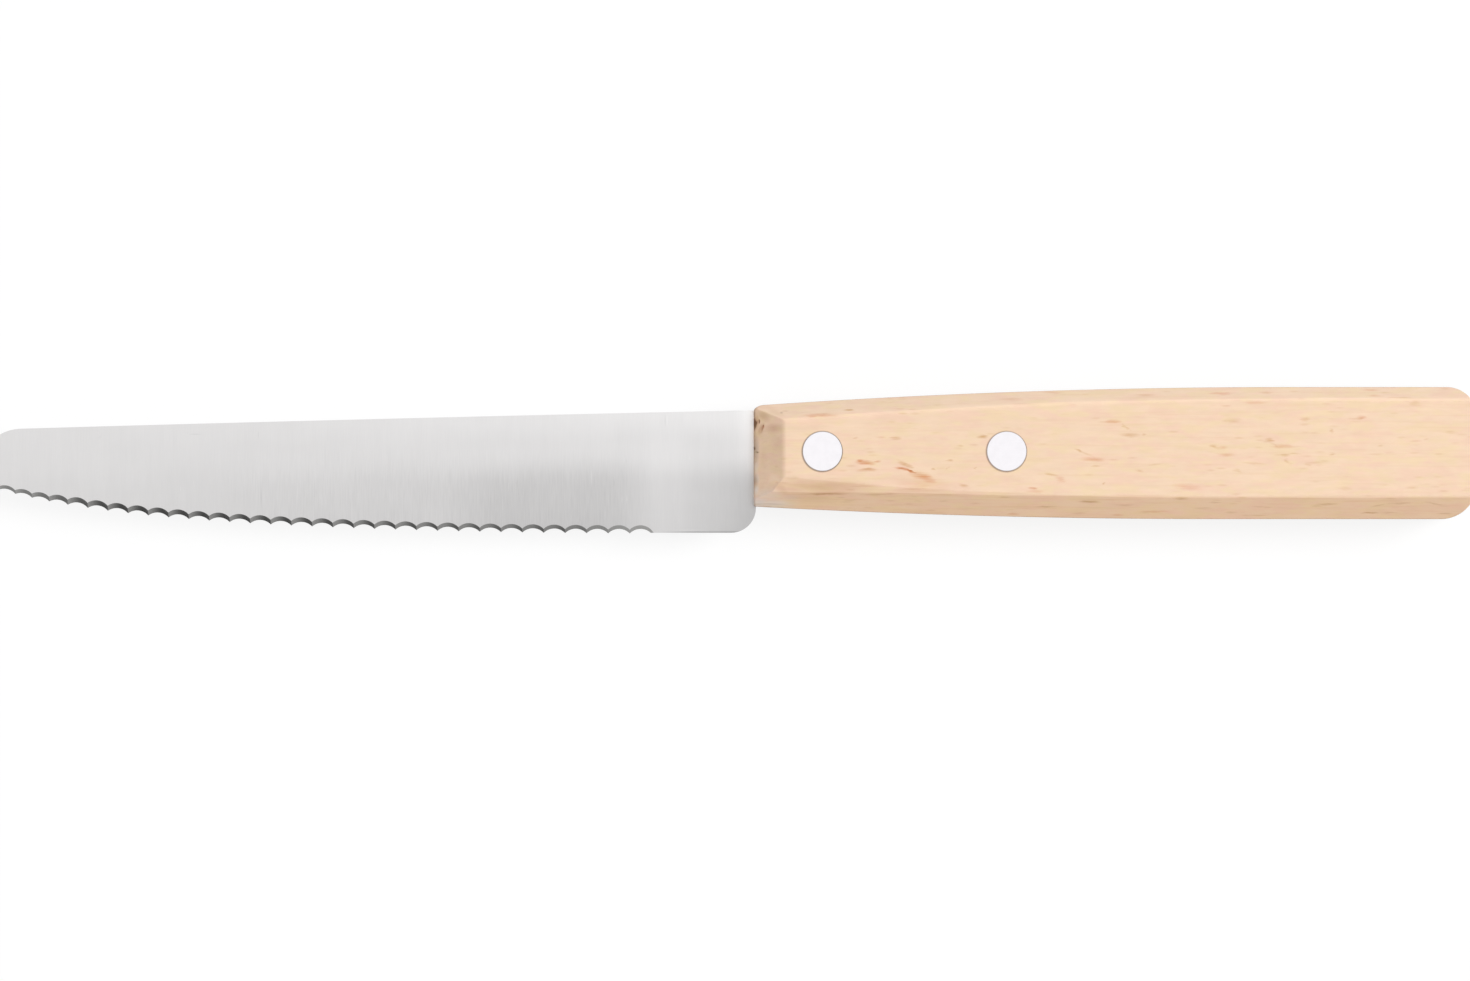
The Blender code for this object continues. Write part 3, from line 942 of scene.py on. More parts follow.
# %% Where the scratches are
DARK_SCRATCHES = [
    # x, y, length, width, turn, strength
    (-69.5, -6.05, 4.6, 0.24, 91, 1.0), (-69.9, 2.6, 1.4, 0.22, 90, 0.7), (-60.5, -0.7, 6.4, 0.18, 90, 0.7),
    (-78.8, 2.67, 2.0, 0.24, 0, 1.0), (-92.3, 2.25, 1.1, 0.5, 20, 0.35), (-12.5, 4.6, 2.3, 0.22, 90, 1.0),
    (-19.7, -4.2, 1.6, 0.2, 90, 0.7), (-28.9, -8.2, 2.6, 0.16, 90, 0.6), (-33.4, -4.3, 2.0, 0.18, 88, 0.75),
    (-37.1, -6.8, 3.4, 0.18, 90, 0.8), (-25.6, -7.2, 2.4, 0.16, 90, 0.5), (-45.0, -5.5, 2.2, 0.16, 90, 0.5),
    (-18.0, -1.1, 1.0, 0.2, 90, 0.6),
]
PALE_SCRATCHES = [
    (-22.9, -3.5, 2.9, 0.2, 90, 1.0), (-12.2, 4.6, 2.0, 0.2, 90, 0.6), (-18.6, -6.55, 1.4, 0.18, 90, 0.85),
    (-17.9, -6.45, 1.2, 0.18, 90, 0.85), (-18.3, -1.0, 1.1, 0.18, 90, 0.7), (-35.4, -7.3, 3.0, 0.18, 90, 0.8),
    (-34.6, -4.6, 1.6, 0.16, 90, 0.6), (-80.9, -5.05, 1.0, 0.16, 90, 0.7), (-79.0, -4.4, 1.6, 0.16, 98, 0.6),
    (-9.0, -0.75, 0.8, 0.26, 90, 0.5), (-8.9, -10.88, 5.4, 0.24, 0, 0.75),
]
print("scratches:", len(DARK_SCRATCHES) + len(PALE_SCRATCHES))

# %% [markdown]
# The brushing is noise that is long across the blade and very short along it, and it touches colour,
# roughness and bump together. The steel takes the light like a dull mirror, and that reflection is painted
# into its colour: palest along the spine near the handle, darker in the lower half, with painted shade low
# at the heel. The way down from the spine gives that, and slow changes along the blade do the rest. Beside
# the wood, where the handle takes some of the light away, painted light makes the steel a little paler.

# %% Finish the blade
STEEL_TINT = (1.062, 1.047, 1.045, 1.0)
SPINE_TONE = 0.697              # at the tip
TONE_LOSS = 0.0042              # for each millimetre down from the spine
SPINE_GAIN = 0.105              # how much paler the spine is at the handle's end
BODY_GAIN = 0.045               # and the steel below it
GAIN_DOWN = (0.4, 4.2)          # how far below the spine the one gives way to the other
EDGE_LOSS = 0.080               # how much darker it gets again in the lower half
LOSS_DOWN = (6.0, 10.6)
# painted shade on the lower steel at the heel, darkest beside the handle
HEEL_SHADE = 0.105
HEEL_SHADE_LENGTH = 12.0
HEEL_SHADE_HEIGHTS = (0.8, -5.2)
STEEL_SHADES = [
    # what is added in full, and the ways over which it comes in or goes out, all painted reflection and
    # shade: first a darker stretch in the lower half, then the paler stretch beside it, painted shade on the
    # dulled plain edge where it turns from the light, and painted light on the steel beside the wood
    (-0.075, ("along", -100.0, -58.0), ("along", -12.6, -21.5), ("along", -45.0, -35.5, 0.4, 1.0),
     ("down", 5.0, 9.5)),
    (0.030, ("along", -18.0, -13.4), ("along", -7.5, -12.6), ("down", 1.0, 5.0)),
    (-0.15, ("height", PLAIN_HEIGHT + 0.34, PLAIN_HEIGHT + 0.10), ("along", -14.0, -8.0)),
    (0.12, ("along", -3.4, 0.2), ("height", -9.0, 5.0)),
]
CLEARLY_BRUSHED = (("height", 1.5, -4.0), ("along", -82.0, -62.0), ("along", -12.0, -22.0))
FAINTLY_BRUSHED = 0.35          # how much of the brushing shows everywhere else
BRUSH, BANDS, CLOUDS, DARK, PALE = 0.044, 0.014, 0.014, -0.060, 0.055
STEEL_ROUGHNESS = 0.33
BRUSH_ROUGHNESS = 0.08
STEEL_RELIEF = (0.25, 0.004)
STEEL_NOISES = {
    # stretch in millimetres, detail, roughness, lift
    "bands": ((1.5, 14.0, 8.0), 2.0, 0.5),
    "streaks": ((0.17, 2.8, 4.0), 1.0, 0.5, (3.1, 1.7, 0.0)),
    "hair": ((0.09, 9.0, 4.0), 2.0, 0.6, (7.3, 0.4, 0.0)),
    "clouds": ((13.0, 5.0, 8.0), 3.0, 0.5, (5.0, 2.0, 0.0)),
}


def overlap(tree, axes, ways):
    """One where all the ways are full: each goes along an axis from its start to its end."""
    return product(tree, *(between(tree, axes[axis], *ends) for axis, *ends in ways))


def painted_steel_reflection(tree, axes):
    """The painted reflection and shade: slow changes of tone over the blade."""
    down = axes["down"]
    to_handle = evenly(tree, axes["along"], -BLADE_LENGTH, 0.0)
    gain = sums(tree, "SUBTRACT", between(tree, down, *GAIN_DOWN, SPINE_GAIN, BODY_GAIN),
                between(tree, down, *LOSS_DOWN, 0.0, EDGE_LOSS))
    to_heel = evenly(tree, axes["along"], -HEEL_SHADE_LENGTH, 0.0)
    heel = product(tree, to_heel, to_heel, between(tree, axes["height"], *HEEL_SHADE_HEIGHTS))
    return add_up(tree, SPINE_TONE, [
        (down, -TONE_LOSS),
        (product(tree, to_handle, to_handle), gain),
        (heel, -HEEL_SHADE),
        *((overlap(tree, axes, ways), amount) for amount, *ways in STEEL_SHADES),
    ])


def finish_steel():
    material, tree, shader, place = new_finish("brushed_steel")
    along, height = split(tree, place)[:2]
    spine_line = add_up(tree, SPINE_HEIGHT, [(along, SPINE_FALL / BLADE_LENGTH)])
    axes = {"along": along, "height": height, "down": sums(tree, "SUBTRACT", spine_line, height)}
    lines = noises(tree, place, STEEL_NOISES)
    fine = sums(tree, "ADD", evenly(tree, lines["streaks"], 0.25, 0.75, -0.5, 0.5),
                evenly(tree, lines["hair"], 0.25, 0.75, -0.3, 0.3))
    clear = evenly(tree, overlap(tree, axes, CLEARLY_BRUSHED), 0.0, 1.0, FAINTLY_BRUSHED, 1.0)
    brush = product(tree, fine, clear)
    # the painted reflection and shade first, then the brushing, bands, clouds and scratches
    tone = add_up(tree, painted_steel_reflection(tree, axes), (
        (brush, BRUSH),
        (evenly(tree, lines["bands"], 0.3, 0.7, -0.5, 0.5), BANDS),
        (between(tree, lines["clouds"], 0.3, 0.7, -0.5, 0.5), CLOUDS),
        (strongest(tree, place, DARK_SCRATCHES), DARK),
        (strongest(tree, place, PALE_SCRATCHES), PALE),
    ))
    roughness = add_up(tree, STEEL_ROUGHNESS, [(brush, BRUSH_ROUGHNESS)])
    end_finish(tree, shader, toned(tree, tone, STEEL_TINT), roughness, 1.0, STEEL_RELIEF, brush)
    return material


blade.data.materials.clear()
blade.data.materials.append(finish_steel())

# %% [markdown]
# The hollows keep the grain of the wheel. It is coarser than the brushing, and the ground steel is painted
# darker, as shade for its furrows and for its tilt away from the light. The flank on the tip side of each
# hollow faces the handle and the lamp, and is painted paler than the other: painted light and shade. Which
# flank a point is on shows in the way that the surface faces, so the painted shade follows the normal. The
# difference fades towards both ends of the row.

# %% Finish the ground hollows
TIP_ALONG = (-91.0, -104.0)
TO_HEEL_ALONG = (-26.0, -17.0)
HEEL_GROUND = 0.360             # the even tone that the hollows come to beside the plain edge
FLANKS = [
    # tone along the row, tone at the tip, and what is added nearer to the heel
    (0.050, 0.215, (-60.0, -36.0, 0.0, 0.022)),
    (0.280, 0.365, (-50.0, -30.0, 0.0, -0.045)),
]
FLANK_DRIFT = (-78.0, -28.0, -0.10, 0.25)
FLANK_TURN = (-0.45, 0.45)      # how far a face looks aside for the one flank and the other
GROUND_GRAIN = (0.05, 0.35, 0.35)
GRAIN_TONES = (0.8, 1.2)
GROUND_ROUGHNESS = (0.42, 0.58)
GROUND_RELIEF = (0.4, 0.01)
GROUND_TINT = (1.0, 0.99, 0.97, 1.0)
GROUND_LEAN = (0.05, 0.95)      # a ground face looks up, but less than the flat of the blade
GROUND_ASIDE = 0.3              # and hardly towards the spine
GROUND_START = 0.6              # it may begin this far behind the first tooth
GROUND_REACH = 1.6              # and lies within this height above the teeth


def finish_ground_steel():
    material, tree, shader, place = new_finish("ground_steel")
    along = split(tree, place)[0]
    # painted light and shade: faces turned towards the handle and the lamp are paler, the others darker
    aside = sums(tree, "ADD", surface_direction(tree)[0], evenly(tree, along, *FLANK_DRIFT))
    dark, pale = (
        sums(tree, "ADD", evenly(tree, along, *TIP_ALONG, tone, tip_tone), evenly(tree, along, *change))
        for tone, tip_tone, change in FLANKS
    )
    tone = chosen(tree, between(tree, aside, *FLANK_TURN), dark, pale)
    tone = chosen(tree, evenly(tree, along, *TO_HEEL_ALONG), tone, HEEL_GROUND)
    grain = stretched_noise(tree, place, GROUND_GRAIN, 2.0, 0.6)
    tone = product(tree, tone, evenly(tree, grain, 0.25, 0.75, *GRAIN_TONES))
    roughness = evenly(tree, grain, 0.3, 0.7, *GROUND_ROUGHNESS)
    end_finish(tree, shader, toned(tree, tone, GROUND_TINT), roughness, 1.0, GROUND_RELIEF, grain)
    return material


def is_ground(face):
    """Whether a face leans up and out at the serrated edge."""
    x, y, z = face.center / MM
    leans = GROUND_LEAN[0] < face.normal.z < GROUND_LEAN[1] and face.normal.y < GROUND_ASIDE
    near_teeth = x < GROUND_START - PLAIN_EDGE and y < tooth_height(min(x, -PLAIN_EDGE)) + GROUND_REACH
    return leans and near_teeth


blade.data.materials.append(finish_ground_steel())
ground_faces = [face for face in blade.data.polygons if is_ground(face)]
for face in ground_faces:
    face.material_index = 1
print("ground faces:", len(ground_faces))
settle(blade, "blade", sharp_angle=34)

# %% [markdown]
# ## Beech
# Beech is pale and even. Up close it has fine streaks along the grain, soft clouds of pink and yellow, and
# rays: short flecks of a redder, denser tissue, some of them dark. On this handle the flecks that stand out
# are few, so they are laid one by one, and faint ones are scattered by noise.

# %% [markdown]
# The flecks were measured on the photograph, from the handle's front face and from its middle height. The
# red ones are rays that were cut lengthwise, and the brown ones are pores and stained fibres, most of
# them on the bevels, where the cut runs along the fibres.

# %% Where the flecks are
RED_FLECKS = [
    # x, y, length, width, turn, strength
    (8.3, 5.18, 1.8, 0.44, 0, 0.5), (9.4, 5.34, 5.5, 0.66, 0, 0.5), (15.0, -1.12, 1.5, 0.5, -12, 1.1),
    (15.6, -1.33, 3.3, 0.84, -5, 0.9), (17.3, -1.22, 1.5, 0.44, 0, 0.58), (16.0, -2.35, 2.9, 0.6, 0, 0.42),
    (20.9, -2.23, 2.6, 0.55, -8, 1.15), (21.9, -2.53, 2.2, 0.38, -22, 1.6),
    (23.7, -3.33, 4.8, 1.5, -14, 0.76), (24.6, -3.9, 3.4, 1.15, -10, 0.52), (23.8, -4.3, 9.0, 3.0, -6, 0.26),
    (36.5, -8.61, 2.0, 0.41, 0, 0.46), (39.2, -4.97, 1.6, 0.44, 0, 0.8), (39.7, -5.37, 3.2, 0.56, 0, 0.34),
    (42.1, 8.51, 3.6, 0.37, 0, 0.3), (43.2, -3.68, 2.0, 1.17, -25, 0.35), (47.7, -0.87, 4.3, 0.82, -2, 0.55),
    (50.6, 4.41, 2.7, 0.7, 0, 0.62), (51.3, -8.72, 2.0, 0.44, 0, 0.32), (56.4, -8.25, 5.7, 0.41, 0, 0.36),
    (60.7, -4.69, 2.9, 0.44, 0, 0.35), (61.1, -4.74, 5.0, 1.17, -5, 0.33), (65.6, 8.4, 4.3, 0.41, 0, 0.42),
    (66.1, 0.77, 1.3, 0.58, 0, 0.42), (66.1, 8.28, 2.0, 0.44, 0, 0.34), (66.3, -0.23, 3.0, 0.64, -5, 0.22),
    (66.5, -0.28, 3.0, 0.7, 0, 0.34), (70.6, 7.11, 4.3, 0.64, 0, 0.36), (74.4, 0.96, 3.7, 0.75, 0, 0.42),
    (85.5, 4.99, 1.3, 0.82, 0, 0.38), (86.9, 8.86, 2.9, 0.37, 0, 0.36), (87.4, 8.04, 2.7, 0.37, 0, 0.28),
]
BROWN_FLECKS = [
    (10.2, -5.75, 7.0, 0.42, 0, 0.95), (13.3, 6.04, 2.0, 0.25, 0, 0.95), (13.5, -6.66, 2.2, 0.3, 0, 0.28),
    (14.4, 2.15, 1.2, 0.37, 0, 0.46), (15.7, -4.69, 4.6, 0.43, 0, 0.36), (16.0, -2.27, 2.9, 0.42, 0, 0.75),
    (16.3, -2.53, 2.2, 0.28, 0, 0.35), (17.1, -5.85, 5.4, 0.43, 0, 0.42), (19.1, -5.75, 2.9, 0.6, 0, 0.32),
    (20.0, 2.11, 2.2, 0.67, 0, 0.58), (20.5, 6.24, 2.2, 0.25, 0, 0.35), (20.9, 7.86, 1.5, 0.21, 0, 0.35),
    (21.4, -1.62, 3.2, 0.73, -25, 0.8), (22.0, -2.5, 2.1, 0.3, -22, 0.75), (20.7, -2.2, 1.4, 0.3, -8, 0.6),
    (22.3, -5.05, 5.4, 0.3, 2, 0.38), (23.1, -6.76, 1.7, 0.25, 0, 0.18), (25.4, -2.23, 0.6, 0.37, 0, 0.7),
    (26.8, -6.72, 1.7, 0.3, 0, 0.26), (27.2, -2.12, 1.0, 0.3, 35, 0.32), (27.6, -1.02, 1.2, 0.43, 0, 0.68),
    (29.1, 1.0, 1.2, 0.37, 0, 0.4), (29.4, -4.58, 1.7, 0.55, -12, 0.55), (31.2, -2.12, 0.6, 0.3, 40, 0.55),
    (32.3, 2.31, 1.7, 0.73, 0, 0.88), (35.3, -6.26, 2.3, 0.28, 0, 0.4), (36.5, 7.57, 4.3, 0.43, 0, 0.3),
    (41.0, -7.55, 3.7, 0.28, 0, 0.56), (41.9, -3.03, 2.3, 0.49, -10, 0.52),
    (45.7, 0.35, 1.5, 0.43, -20, 0.95), (45.9, -8.49, 2.3, 0.43, 0, 0.28),
    (46.8, -0.09, 2.8, 0.43, -22, 0.34), (47.2, -6.85, 3.7, 0.43, 0, 1.0), (48.2, -1.85, 1.7, 0.36, 0, 0.5),
    (49.2, -4.27, 0.4, 0.43, 0, 0.65), (49.2, 4.36, 2.3, 0.36, 0, 0.3), (52.2, -7.32, 3.4, 0.36, 0, 0.42),
    (52.5, 3.59, 2.6, 0.36, -32, 0.44), (53.0, 2.53, 3.2, 0.85, 0, 0.56), (54.3, -2.51, 1.7, 0.49, -10, 0.46),
    (54.9, 2.6, 1.1, 0.49, 0, 0.55), (55.0, 8.16, 3.2, 0.43, 0, 0.5), (56.2, -1.64, 2.0, 0.36, 5, 0.3),
    (60.1, -6.43, 2.6, 0.49, 0, 0.62), (63.2, -7.79, 3.4, 0.36, 0, 0.34), (64.9, -6.96, 2.0, 0.28, 0, 0.4),
    (64.9, 0.89, 2.0, 0.71, -15, 0.62), (66.5, 4.53, 1.5, 0.71, 0, 0.22), (67.2, -8.37, 2.6, 0.36, 0, 0.5),
    (67.4, 4.53, 2.8, 1.06, 0, 0.32), (68.1, -2.51, 1.7, 0.71, -25, 0.32), (68.2, -6.85, 1.7, 0.28, 0, 0.22),
    (70.3, -1.45, 3.7, 0.43, -3, 0.42), (71.0, -8.77, 3.4, 0.28, 0, 0.45), (71.2, -7.55, 2.8, 0.28, 0, 0.34),
    (72.2, 8.51, 2.3, 0.43, 0, 0.35), (72.4, 1.78, 1.7, 0.78, 0, 0.66), (73.2, 1.17, 1.7, 0.36, -35, 0.3),
    (74.7, -0.28, 2.0, 0.57, 0, 0.62), (75.1, -1.22, 1.7, 0.57, -45, 0.4), (75.9, -0.09, 2.8, 0.28, 0, 0.5),
    (76.1, 0.89, 3.7, 0.28, 0, 0.2), (77.6, 4.76, 1.7, 0.71, 0, 0.44), (77.9, -1.64, 0.9, 0.57, 0, 0.45),
    (79.0, -1.38, 3.2, 0.43, 0, 0.3), (79.2, -7.48, 2.3, 0.28, 0, 0.45), (80.8, -7.2, 4.6, 0.38, 2, 0.55),
    (81.3, -0.16, 0.9, 0.57, 0, 0.5), (81.3, 3.12, 0.6, 0.92, 0, 0.44), (83.2, -4.97, 2.0, 0.85, 0, 0.22),
    (84.9, 4.83, 3.2, 0.43, 0, 0.32), (86.7, -8.42, 3.2, 0.28, 0, 1.2), (87.2, -0.16, 3.2, 0.36, 0, 0.3),
    (87.9, -7.36, 2.8, 0.28, 12, 0.45), (88.3, 1.01, 1.1, 0.36, 0, 0.34), (89.5, -8.4, 3.4, 0.28, 0, 0.46),
    (90.9, -7.08, 4.3, 0.36, 3, 0.44), (90.9, 7.81, 4.3, 0.25, 0, 0.28), (92.6, -4.85, 2.3, 0.71, 0, 0.32),
    (93.1, 6.99, 2.0, 1.06, 0, 0.34), (94.7, 1.95, 0.9, 0.36, 0, 0.34), (95.8, -7.13, 3.4, 0.28, -10, 0.45),
    (97.3, -8.49, 2.8, 0.28, 0, 0.34), (98.0, 2.95, 2.0, 0.64, 0, 0.28),
]
print(len(RED_FLECKS), "red and", len(BROWN_FLECKS), "brown flecks")

# %% [markdown]
# Handling darkened the wood beside the blade, and washing greyed it. Painted shadow darkens it too, where
# the front face meets the steel and inside the nicks. These places are lists of marks too: where it is
# paler, stained or shadowed, torn, and greyed.

# %% Where the wood is stained and worn
PALER = [
    # like the flecks: x, y, length, width, turn, strength
    (3.0, -3.9, 3.6, 2.2, -40, 1.0), (4.0, 4.6, 2.0, 1.2, 35, 0.2),
]
# stains, and, turned upright along the front face, painted shadow where the wood meets the steel
STAINS_AND_SHADOWS = [
    (1.4, 5.2, 2.6, 1.7, -30, 0.4), (2.9, 3.45, 3.4, 1.7, 0, 0.4), (2.8, 3.6, 0.8, 0.7, 0, 0.45),
    (1.0, 3.35, 2.3, 1.1, 65, 0.6), (3.2, 1.4, 2.4, 3.0, 0, 0.18), (1.4, -0.8, 1.4, 4.0, 0, 0.12),
    (0.2, 0.6, 6.4, 1.3, 90, 0.75), (0.2, -0.6, 3.6, 1.2, 90, 0.42), (0.2, -3.9, 2.6, 1.1, 90, 0.78),
    (10.5, -4.75, 15.0, 2.9, -2, 0.46), (7.5, -6.1, 11.0, 2.6, -3, 0.25), (5.6, -3.5, 3.0, 1.0, 0, 0.16),
    (6.2, -5.15, 6.4, 1.3, -3, 0.3), (0.45, 4.4, 3.6, 0.9, 90, 0.55), (3.9, -5.0, 3.8, 1.7, -36, 0.34),
    (7.5, 3.5, 8.0, 1.0, 0, 0.13), (24.0, -5.3, 10.0, 0.9, 1, 0.18), (9.6, -6.3, 5.0, 1.0, -3, 0.2),
    (4.4, 5.9, 1.4, 0.4, 0, 0.3), (0.6, 5.6, 1.2, 1.2, 0, 0.2), (3.0, 5.8, 3.6, 1.3, -25, 0.22),
]
# torn, stained end grain at the nicks, with painted shadow inside them
TORN_AND_SHADOWED = [
    (0.1, 4.15, 2.4, 0.8, 90, 0.85), (0.36, 4.3, 1.0, 0.55, 60, 0.6), (0.05, 5.3, 2.0, 0.56, 90, 0.4),
    (0.78, 4.45, 0.9, 0.34, 90, 0.42), (1.12, 3.5, 1.4, 0.4, 68, 0.24), (0.12, 0.65, 0.8, 0.4, 90, 0.5),
    (0.4, 0.12, 1.0, 0.26, 0, 0.3), (0.1, -7.45, 0.6, 0.5, 0, 0.4), (3.9, 5.68, 0.6, 0.4, 0, 0.28),
    (2.6, -7.18, 4.6, 0.16, -1, 0.3),
]
GREYED = [
    (0.6, -7.1, 5.0, 2.4, 10, 1.0), (2.4, -7.2, 8.5, 2.0, 0, 0.8), (2.2, -6.0, 6.0, 2.4, 0, 0.45),
    (0.3, -3.65, 2.2, 1.2, 90, 0.8), (0.3, 0.5, 5.0, 1.1, 90, 0.7), (0.35, -5.1, 2.4, 1.0, 90, 0.7),
    (5.0, -6.3, 4.0, 1.3, 0, 0.3), (0.3, -1.6, 5.0, 1.0, 90, 0.5),
]
print("stained and worn places:", len(PALER) + len(STAINS_AND_SHADOWS) + len(TORN_AND_SHADOWED) + len(GREYED))

# %% [markdown]
# The coordinates are first bent a little by noise, so that nothing in the wood is ruled straight. The lower
# cheek reads the list of flecks backwards, which gives it flecks of its own. The fibres make the ends of
# every listed fleck ragged.

# %% Helpers that bend the grain and find the rings and the arris
LOWER_SHIFT = 3.0               # how far the lower cheek's flecks are moved along
FIBRE_REACH = 1.5
WANDER_REACH = 0.26
BEND_LENGTHS = (11.0, 2.2, 2.2)
BEND_REACH = (0.0, 0.45, 0.45)
BENT_NOISES = {
    # stretch in millimetres, detail, roughness, lift
    "pink": ((5.5, 2.0, 2.0), 3.0, 0.6),
    "yellow": ((4.5, 1.5, 1.5), 3.0, 0.6, (6.0, 3.0, 2.0)),
    "streaks": ((16.0, 0.42, 0.42), 4.0, 0.62),
    "hair": ((4.0, 0.13, 0.13), 3.0, 0.6, (2.0, 5.0, 1.0)),
}
STRAIGHT_NOISES = {
    "patches": ((3.2, 0.9, 0.9), 3.0, 0.6, (8.0, 1.0, 4.0)),
    "flecked": ((9.0, 3.0, 3.0), 2.0, 0.5, (1.0, 9.0, 3.0)),
    "fibres": ((1.6, 0.16, 0.16), 2.0, 0.5),
    "wander": ((1.2, 0.50, 0.50), 1.0, 0.5, (3.0, 8.0, 5.0)),
}
CELL_SIZE = (3.4, 0.75, 0.75)
SCATTERED = 0.30                # how strong the scattered flecks are
HIGHLIGHT_REACH = 0.42              # half the width of the painted highlight on the arris where the bevel is straight
HIGHLIGHT_GROWTH = 0.45             # and how much wider it is in front
# painted highlight: how much paler the arris is made
ARRIS_HIGHLIGHT = 1.045


def bent_place(tree, place):
    """The place, shifted a little across the grain by noise that is long along it."""
    sway = stretched_noise(tree, place, BEND_LENGTHS, 3.0, 0.55).node.outputs[1]
    centred = vectors(tree, "SUBTRACT", sway, (0.5, 0.5, 0.5))
    return vectors(tree, "ADD", place, vectors(tree, "MULTIPLY", centred, BEND_REACH))


def listed_place(tree, place, fibres, wander):
    """Where to read the list of flecks: as measured on the upper cheek, turned end for end below."""
    x, y, z = split(tree, place)
    lower_x = sums(tree, "SUBTRACT", HANDLE_LENGTH + LOWER_SHIFT, x)
    x = chosen(tree, sums(tree, "GREATER_THAN", z, 0.0), lower_x, x)
    x = add_up(tree, x, [(sums(tree, "SUBTRACT", fibres, 0.5), FIBRE_REACH)])
    y = add_up(tree, y, [(sums(tree, "SUBTRACT", wander, 0.5), WANDER_REACH)])
    return wire(tree, "ShaderNodeCombineXYZ", {0: x, 1: y, 2: 0.0})


def scattered_flecks(tree, bent, flecked):
    """Small faint flecks, more of them in some areas than in others."""
    cells = wire(tree, "ShaderNodeTexVoronoi", {"Vector": vectors(tree, "DIVIDE", bent, CELL_SIZE),
                                                "Scale": 1.0, "Randomness": 1.0})
    return product(tree, between(tree, cells, 0.30, 0.05), between(tree, flecked, 0.42, 0.62), SCATTERED)


def rivet_ring(tree, place, node, off_centre, start, end):
    """How far a place is on its way from one distance to another round a rivet's axis."""
    x, y = rivets[node][:2]
    offset = vectors(tree, "SUBTRACT", place, (x + off_centre, y + off_centre, 0.0))
    flat = vectors(tree, "MULTIPLY", offset, (1.0, 1.0, 0.0))
    return between(tree, vectors(tree, "LENGTH", flat, output=1), start, end)


def painted_arris_highlight(tree, place):
    """A painted highlight: what the colour is multiplied by on the arris between the spine bevel and the
    cheek.
    """
    x, y = split(tree, place)[:2]
    share = sums(tree, "SUBTRACT", 1.0, sums(tree, "DIVIDE", x, SPINE_DROP_LENGTH))
    way = sums(tree, "MAXIMUM", share, 0.0)
    drop = product(tree, product(tree, way, way), SPINE_DROP_FRONT + SPINE_BEVEL_GROWTH)
    arris = sums(tree, "SUBTRACT", HANDLE_HEIGHT / 2 - SPINE_BEVEL_HEIGHT, drop)
    off = sums(tree, "ABSOLUTE", sums(tree, "SUBTRACT", y, arris))
    reach = add_up(tree, HIGHLIGHT_REACH, [(way, HIGHLIGHT_GROWTH)])
    return between(tree, sums(tree, "DIVIDE", off, reach), 1.0, 0.1, 1.0, ARRIS_HIGHLIGHT)


print("noises for the wood:", len(BENT_NOISES) + len(STRAIGHT_NOISES))

# %% [markdown]
# The wood colour is built in layers, from large to small: pink and yellow clouds, long fine streaks,
# scattered small flecks, and then the listed ones. Light and shade are then painted by the way a face
# turns: the spine bevel, which faces the lamp, is painted paler, and the belly bevel is painted deeper and
# warmer, though its cut against the fibres also makes it streakier and more flecked. A painted highlight
# runs along the arris between spine bevel and cheek. Last come the rings round the rivets and the stains,
# both partly painted shadow.

# %% Finish the handle
BEECH = (0.941, 0.706, 0.517, 1.0)
BEECH_PINK = (0.932, 0.665, 0.500, 1.0)
BEECH_YELLOW = (0.922, 0.706, 0.467, 1.0)
BEECH_DEEP = (0.865, 0.608, 0.405, 1.0)
RED_TINT = (0.75, 0.42, 0.27, 1.0)
BROWN_TINT = (0.72, 0.57, 0.36, 1.0)
BEVEL_BROWN_TINT = (0.70, 0.61, 0.47, 1.0)
STAIN_AND_SHADOW_TINT = (0.66, 0.54, 0.42, 1.0)
TORN_AND_SHADOW_TINT = (0.24, 0.15, 0.09, 1.0)
GREY_TINT = (0.915, 1.12, 1.42, 1.0)
# painted shade tints for the belly's lowest rim and for the faces towards the blade
BELLY_RIM_SHADE_TINT = (0.99, 0.955, 0.945, 1.0)
FRONT_SHADE_TINT = (1.030, 1.0, 0.985, 1.0)
PALER_TINT = (1.10, 1.10, 1.12, 1.0)
RING_GRIME_AND_SHADOW_TINT = (0.44, 0.42, 0.45, 1.0)
# painted light on the spine bevel, which faces the lamp, and painted warmer shade on the belly bevel
SPINE_BEVEL_PAINTED_LIGHT = (1.05, 1.065, 1.085, 1.0)
BELLY_BEVEL_SHADE_TINT = (1.075, 1.005, 0.935, 1.0)
RING_REACH = (3.02, 2.78)
FRONT_FACING = (-0.15, -0.38)      # from here to there a face looks at the blade
BELLY_FACING = (-0.1, -0.7)        # the same towards the belly, and for its lowest rim
RIM_FACING = (-0.80, -0.95)
SPINE_FACING = (0.1, 0.7)
WOOD_IOR = 1.45
WOOD_SHINE = 0.30
WOOD_ROUGHNESS = (0.50, 0.66)
WOOD_RELIEF = (0.35, 0.03)
PATCH_TONES = (0.97, 1.035)
STREAKINESS = (0.42, 0.90)      # on the flats, and on the belly bevels
RAGGEDNESS = (0.55, 1.15)       # what the fibres make of a fleck's strength
BEVEL_STRENGTH = 0.10           # what the belly bevels add to the brown flecks


